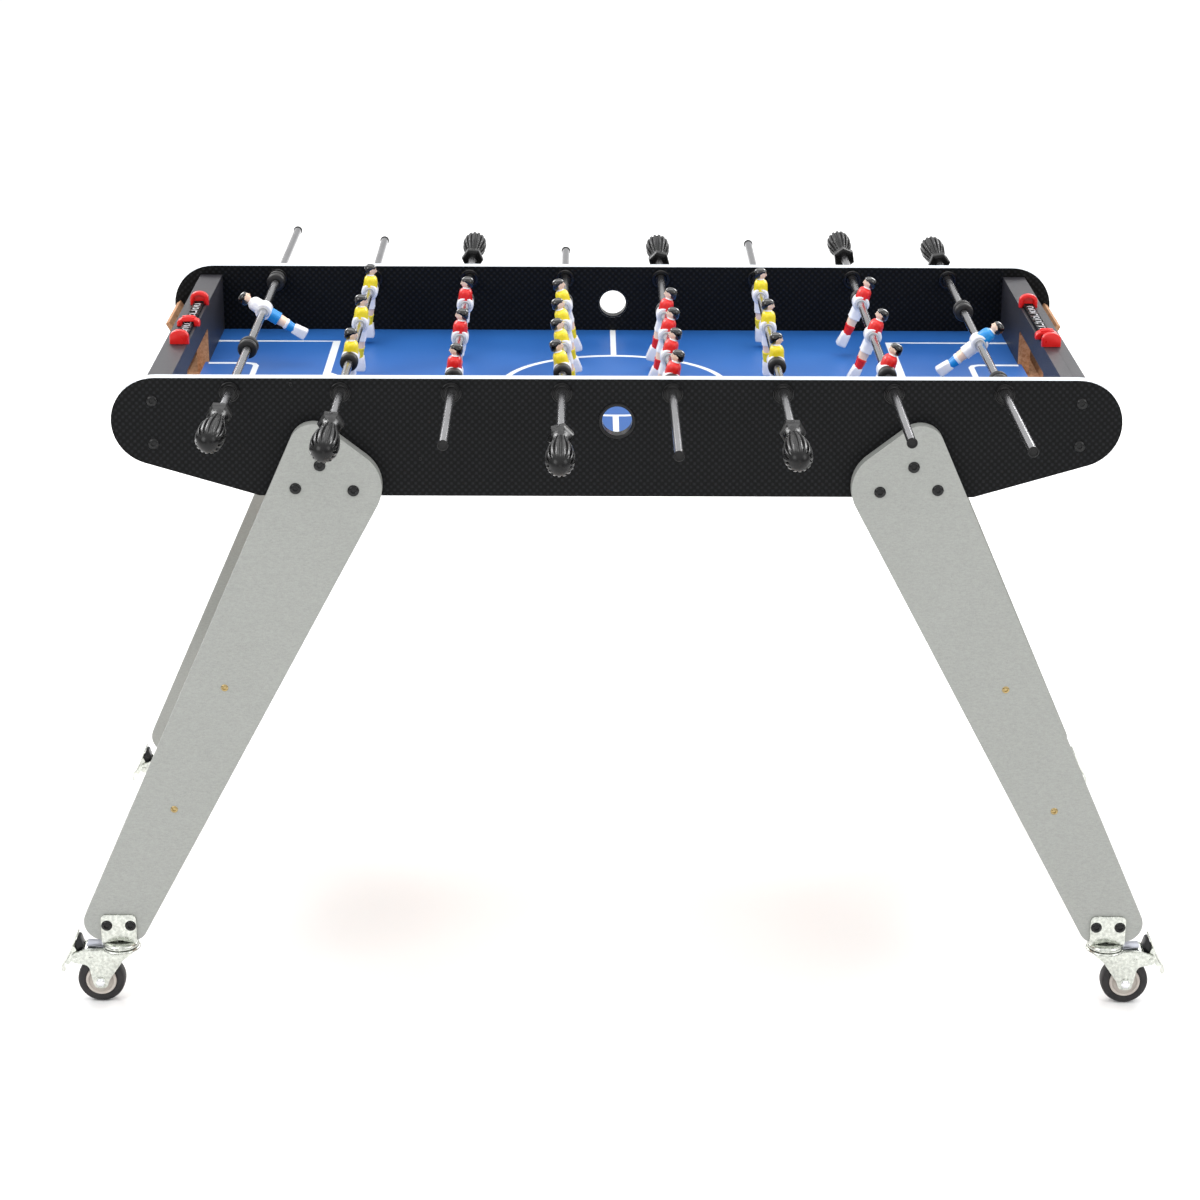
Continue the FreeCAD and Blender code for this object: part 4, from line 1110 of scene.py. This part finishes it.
def fork_shape():
    """Pan under the race, two cheeks with rolled upper edges, axle nuts, rivets and the spring."""
    s = Shape()
    pan = [(73.7, 4.05), (73.7, 20.0), (73.2, 22.8), (72.6, 24.2), (73.4, 25.0), (74.6, 24.7),
           (75.6, 23.6), (76.1, 21.8), (75.6, 19.8), (75.3, 4.05)]
    s.add(lathe(pan, 64, True), "zinc", UPRIGHT)
    for side in (-1, 1):
        outline = rounded([(-21.0, 74.4), (BRAKE_U - 10, 74.4), (BRAKE_U + 4.8, 67.6),
                           (BRAKE_U + 4.8, 57.2), (RIVET_U + 3, 52.8), (TRAIL + 10.4, 33.0),
                           (TRAIL + 7.4, 20.6), (TRAIL - 7.8, 21.2), (TRAIL - 12.0, 33.0),
                           (-4.0, 60.0)],
                          [2.0, 6.0, 4.4, 4.8, 8.0, 12.0, 7.0, 7.0, 14.0, 20.0])
        s.add(plate(outline, side * 12.55, side * CHEEK_Y, 0.5), "zinc")
        roll = rounded([(-12.0, 72.4), (-12.0, 74.9), (BRAKE_U - 9.4, 74.9), (BRAKE_U + 1.2, 70.0),
                        (BRAKE_U + 0.4, 68.3), (BRAKE_U - 10, 72.6)], [1.0, 1.0, 6.0, 0.8, 0.8, 5.0])
        s.add(plate(roll, side * 13.6, side * 15.7, 0.9), "zinc")
        nut_place = moved(TRAIL, side * CHEEK_Y, WHEEL_R) @ facing(side)
        s.add(lathe([(0.0, 6.9), (0.7, 6.9), (0.9, 6.4)], 32), "zinc", nut_place)
        s.add(lathe([(0.8, 6.1), (2.3, 6.1), (2.6, 5.6)], 6), "chrome", nut_place)
        s.add(lathe([(2.3, 5.2), (3.0, 4.9), (3.6, 4.0), (3.95, 2.4), (4.0, 0.4)], 32), "chrome",
              nut_place)
        for u, r in ((RIVET_U, 2.2), (BRAKE_U, 2.7)):
            rivet = [(0.0, r + 0.5), (0.5, r + 0.4), (0.9, r - 0.4), (1.0, r - 1.2), (0.6, r - 1.6)]
            s.add(lathe(rivet, 28), "zinc", moved(u, side * CHEEK_Y, BRAKE_Z) @ facing(side))
    s.add(lathe([(-15.2, 3.9), (15.2, 3.9)], 24), "zinc", moved(TRAIL, 0, WHEEL_R))
    s.add(lathe([(-15.2, 1.9), (15.2, 1.9)], 20), "zinc", moved(RIVET_U, 0, BRAKE_Z))
    top = rounded([(0, -14.8), (BRAKE_U - 11, -14.8), (BRAKE_U - 11, 14.8), (0, 14.8)],
                  [0.5, 4, 4, 0.5])
    s.add(plate(top, 73.7, 75.6, 0.5, "Z"), "zinc")
    tongue = [(17.0, 75.4), (17.0, 76.5), (30.0, 78.4), (42.4, 79.2), (42.4, 77.9), (30.0, 77.1)]
    s.add(plate(tongue, -9.5, 9.5, 0.3), "spring")
    return s


def wheel_shape():
    """Tyre and two-part core, centred on the axle."""
    s = Shape()
    tyre = [(-8.0, 18.6), (-9.4, 20.4), (-10.0, 23.6), (-9.8, 26.6), (-8.6, 28.7), (-6.4, 29.7),
            (-3.0, 29.98), (0.0, 30.0)]
    s.add(lathe(mirrored(tyre, 1), 72, True), "tyre")
    core = [(-11.4, 4.1), (-11.5, 7.8), (-10.6, 8.6), (-9.2, 9.4), (-9.0, 14.0), (-9.6, 15.2),
            (-10.9, 16.0), (-11.2, 17.6), (-10.9, 18.9), (-9.6, 19.5)]
    s.add(lathe(mirrored(core), 64, True), "core")
    return s


PEDAL_LINE = ((54.3, 93.0), (55.6, 90.8), (59.7, 81.0), (65.1, 67.0), (68.7, 60.2), (73.2, 54.0),
              (75.4, 49.6), (76.1, 46.0), (75.6, 41.4), (74.0, 38.6))
PEDAL_HALVES = (8.2, 9.4, 9.8, 9.8, 9.8, 9.8, 9.6, 8.8, 6.8, 4.2)          # half width at each point
PEDAL_T = 1.7


def brake_shape():
    """Bent pedal with folded side wings, the dark cam between them and the pin."""
    s = Shape()
    centre = [Vector(p) for p in PEDAL_LINE]
    rings = []
    for i, p in enumerate(centre):
        run = (centre[min(i + 1, len(centre) - 1)] - centre[max(i - 1, 0)]).normalized()
        side = Vector((run.y, -run.x)) * PEDAL_T
        half = PEDAL_HALVES[i]
        rings.append([(p.x, -half, p.y), (p.x, half, p.y), (p.x + side.x, half, p.y + side.y),
                      (p.x + side.x, -half, p.y + side.y)])
    s.add(bridge(rings), "zinc")
    for y in (-9.0, 9.0):
        wing = rounded([(52.4, 60.0), (53.6, 68.0), (58.6, 79.0), (64.3, 66.6), (68.0, 59.6),
                        (71.6, 54.4), (66.6, 50.6), (62.6, 56.6)],
                       [4.0, 4.0, 1.0, 4.0, 4.0, 1.0, 3.0, 4.0])
        s.add(plate(wing, y - 0.8, y + 0.8, 0.3), "zinc")
    cam = rounded([(46.5, 77.4), (50.0, 88.5), (53.8, 90.0), (57.0, 79.0), (61.0, 68.0),
                   (58.0, 57.5), (53.0, 58.5), (49.4, 68.0)], 1.6)
    s.add(plate(cam, -7.4, 7.4, 0.4), "bolt")
    s.add(lathe([(-14.9, 2.45), (14.9, 2.45)], 24), "zinc", moved(BRAKE_U, 0, BRAKE_Z))
    return s


def make_casters():
    shapes = (("plate", plate_shape(), "cabinet", "zinc_steel", "caster_plates"),
              ("fork", fork_shape(), "caster", "zinc_steel", "caster_fork"),
              ("tyre", wheel_shape(), "wheel", "black_rubber", "caster_wheel"),
              ("pedal", brake_shape(), "brake", "zinc_steel", "caster_brake"))
    for ename, end in ENDS:
        for sname, side in SIDES:
            corner = "%s_%s" % (sname, ename)
            for tag, shape, body, slot, node in shapes:
                place = corner_place(end, side)
                if tag == "tyre":
                    place = place @ moved(TRAIL, 0, WHEEL_R)
                placed = Shape().add((shape.points, shape.faces), None, place)
                placed.finishes = shape.finishes
                own = "" if body == "cabinet" else corner + "_"
                add_piece("%s_caster_%s_part" % (corner, tag), placed.mesh("%s_%s" % (corner, tag), 35.0),
                          own + body, replaces=(own + node,))


# ---- assembly

FLOOR_REACH, FLOOR_Z = 14.0, -0.0005


def make_floor():
    n = Nodes("studio_floor")
    tone = n.noise(1.5, 2.0)
    n.finish(n.mix(tone, (0.93, 0.93, 0.93), (0.96, 0.96, 0.96)), 0.75, specular=0.2)
    data = bpy.data.meshes.new("floor")
    corners = ((-1, -1), (1, -1), (1, 1), (-1, 1))
    data.from_pydata([(FLOOR_REACH * u, FLOOR_REACH * v, FLOOR_Z) for u, v in corners], [],
                     [(0, 1, 2, 3)])
    data.materials.append(n.material)
    put("floor", data)


add_camera()
add_studio()
make_floor()
make_boards()
make_markings()
dress_node("inner_boards", "board")
make_rods()
make_bearings()
make_ball_cups()
make_score_counters()
make_bolts()
make_casters()
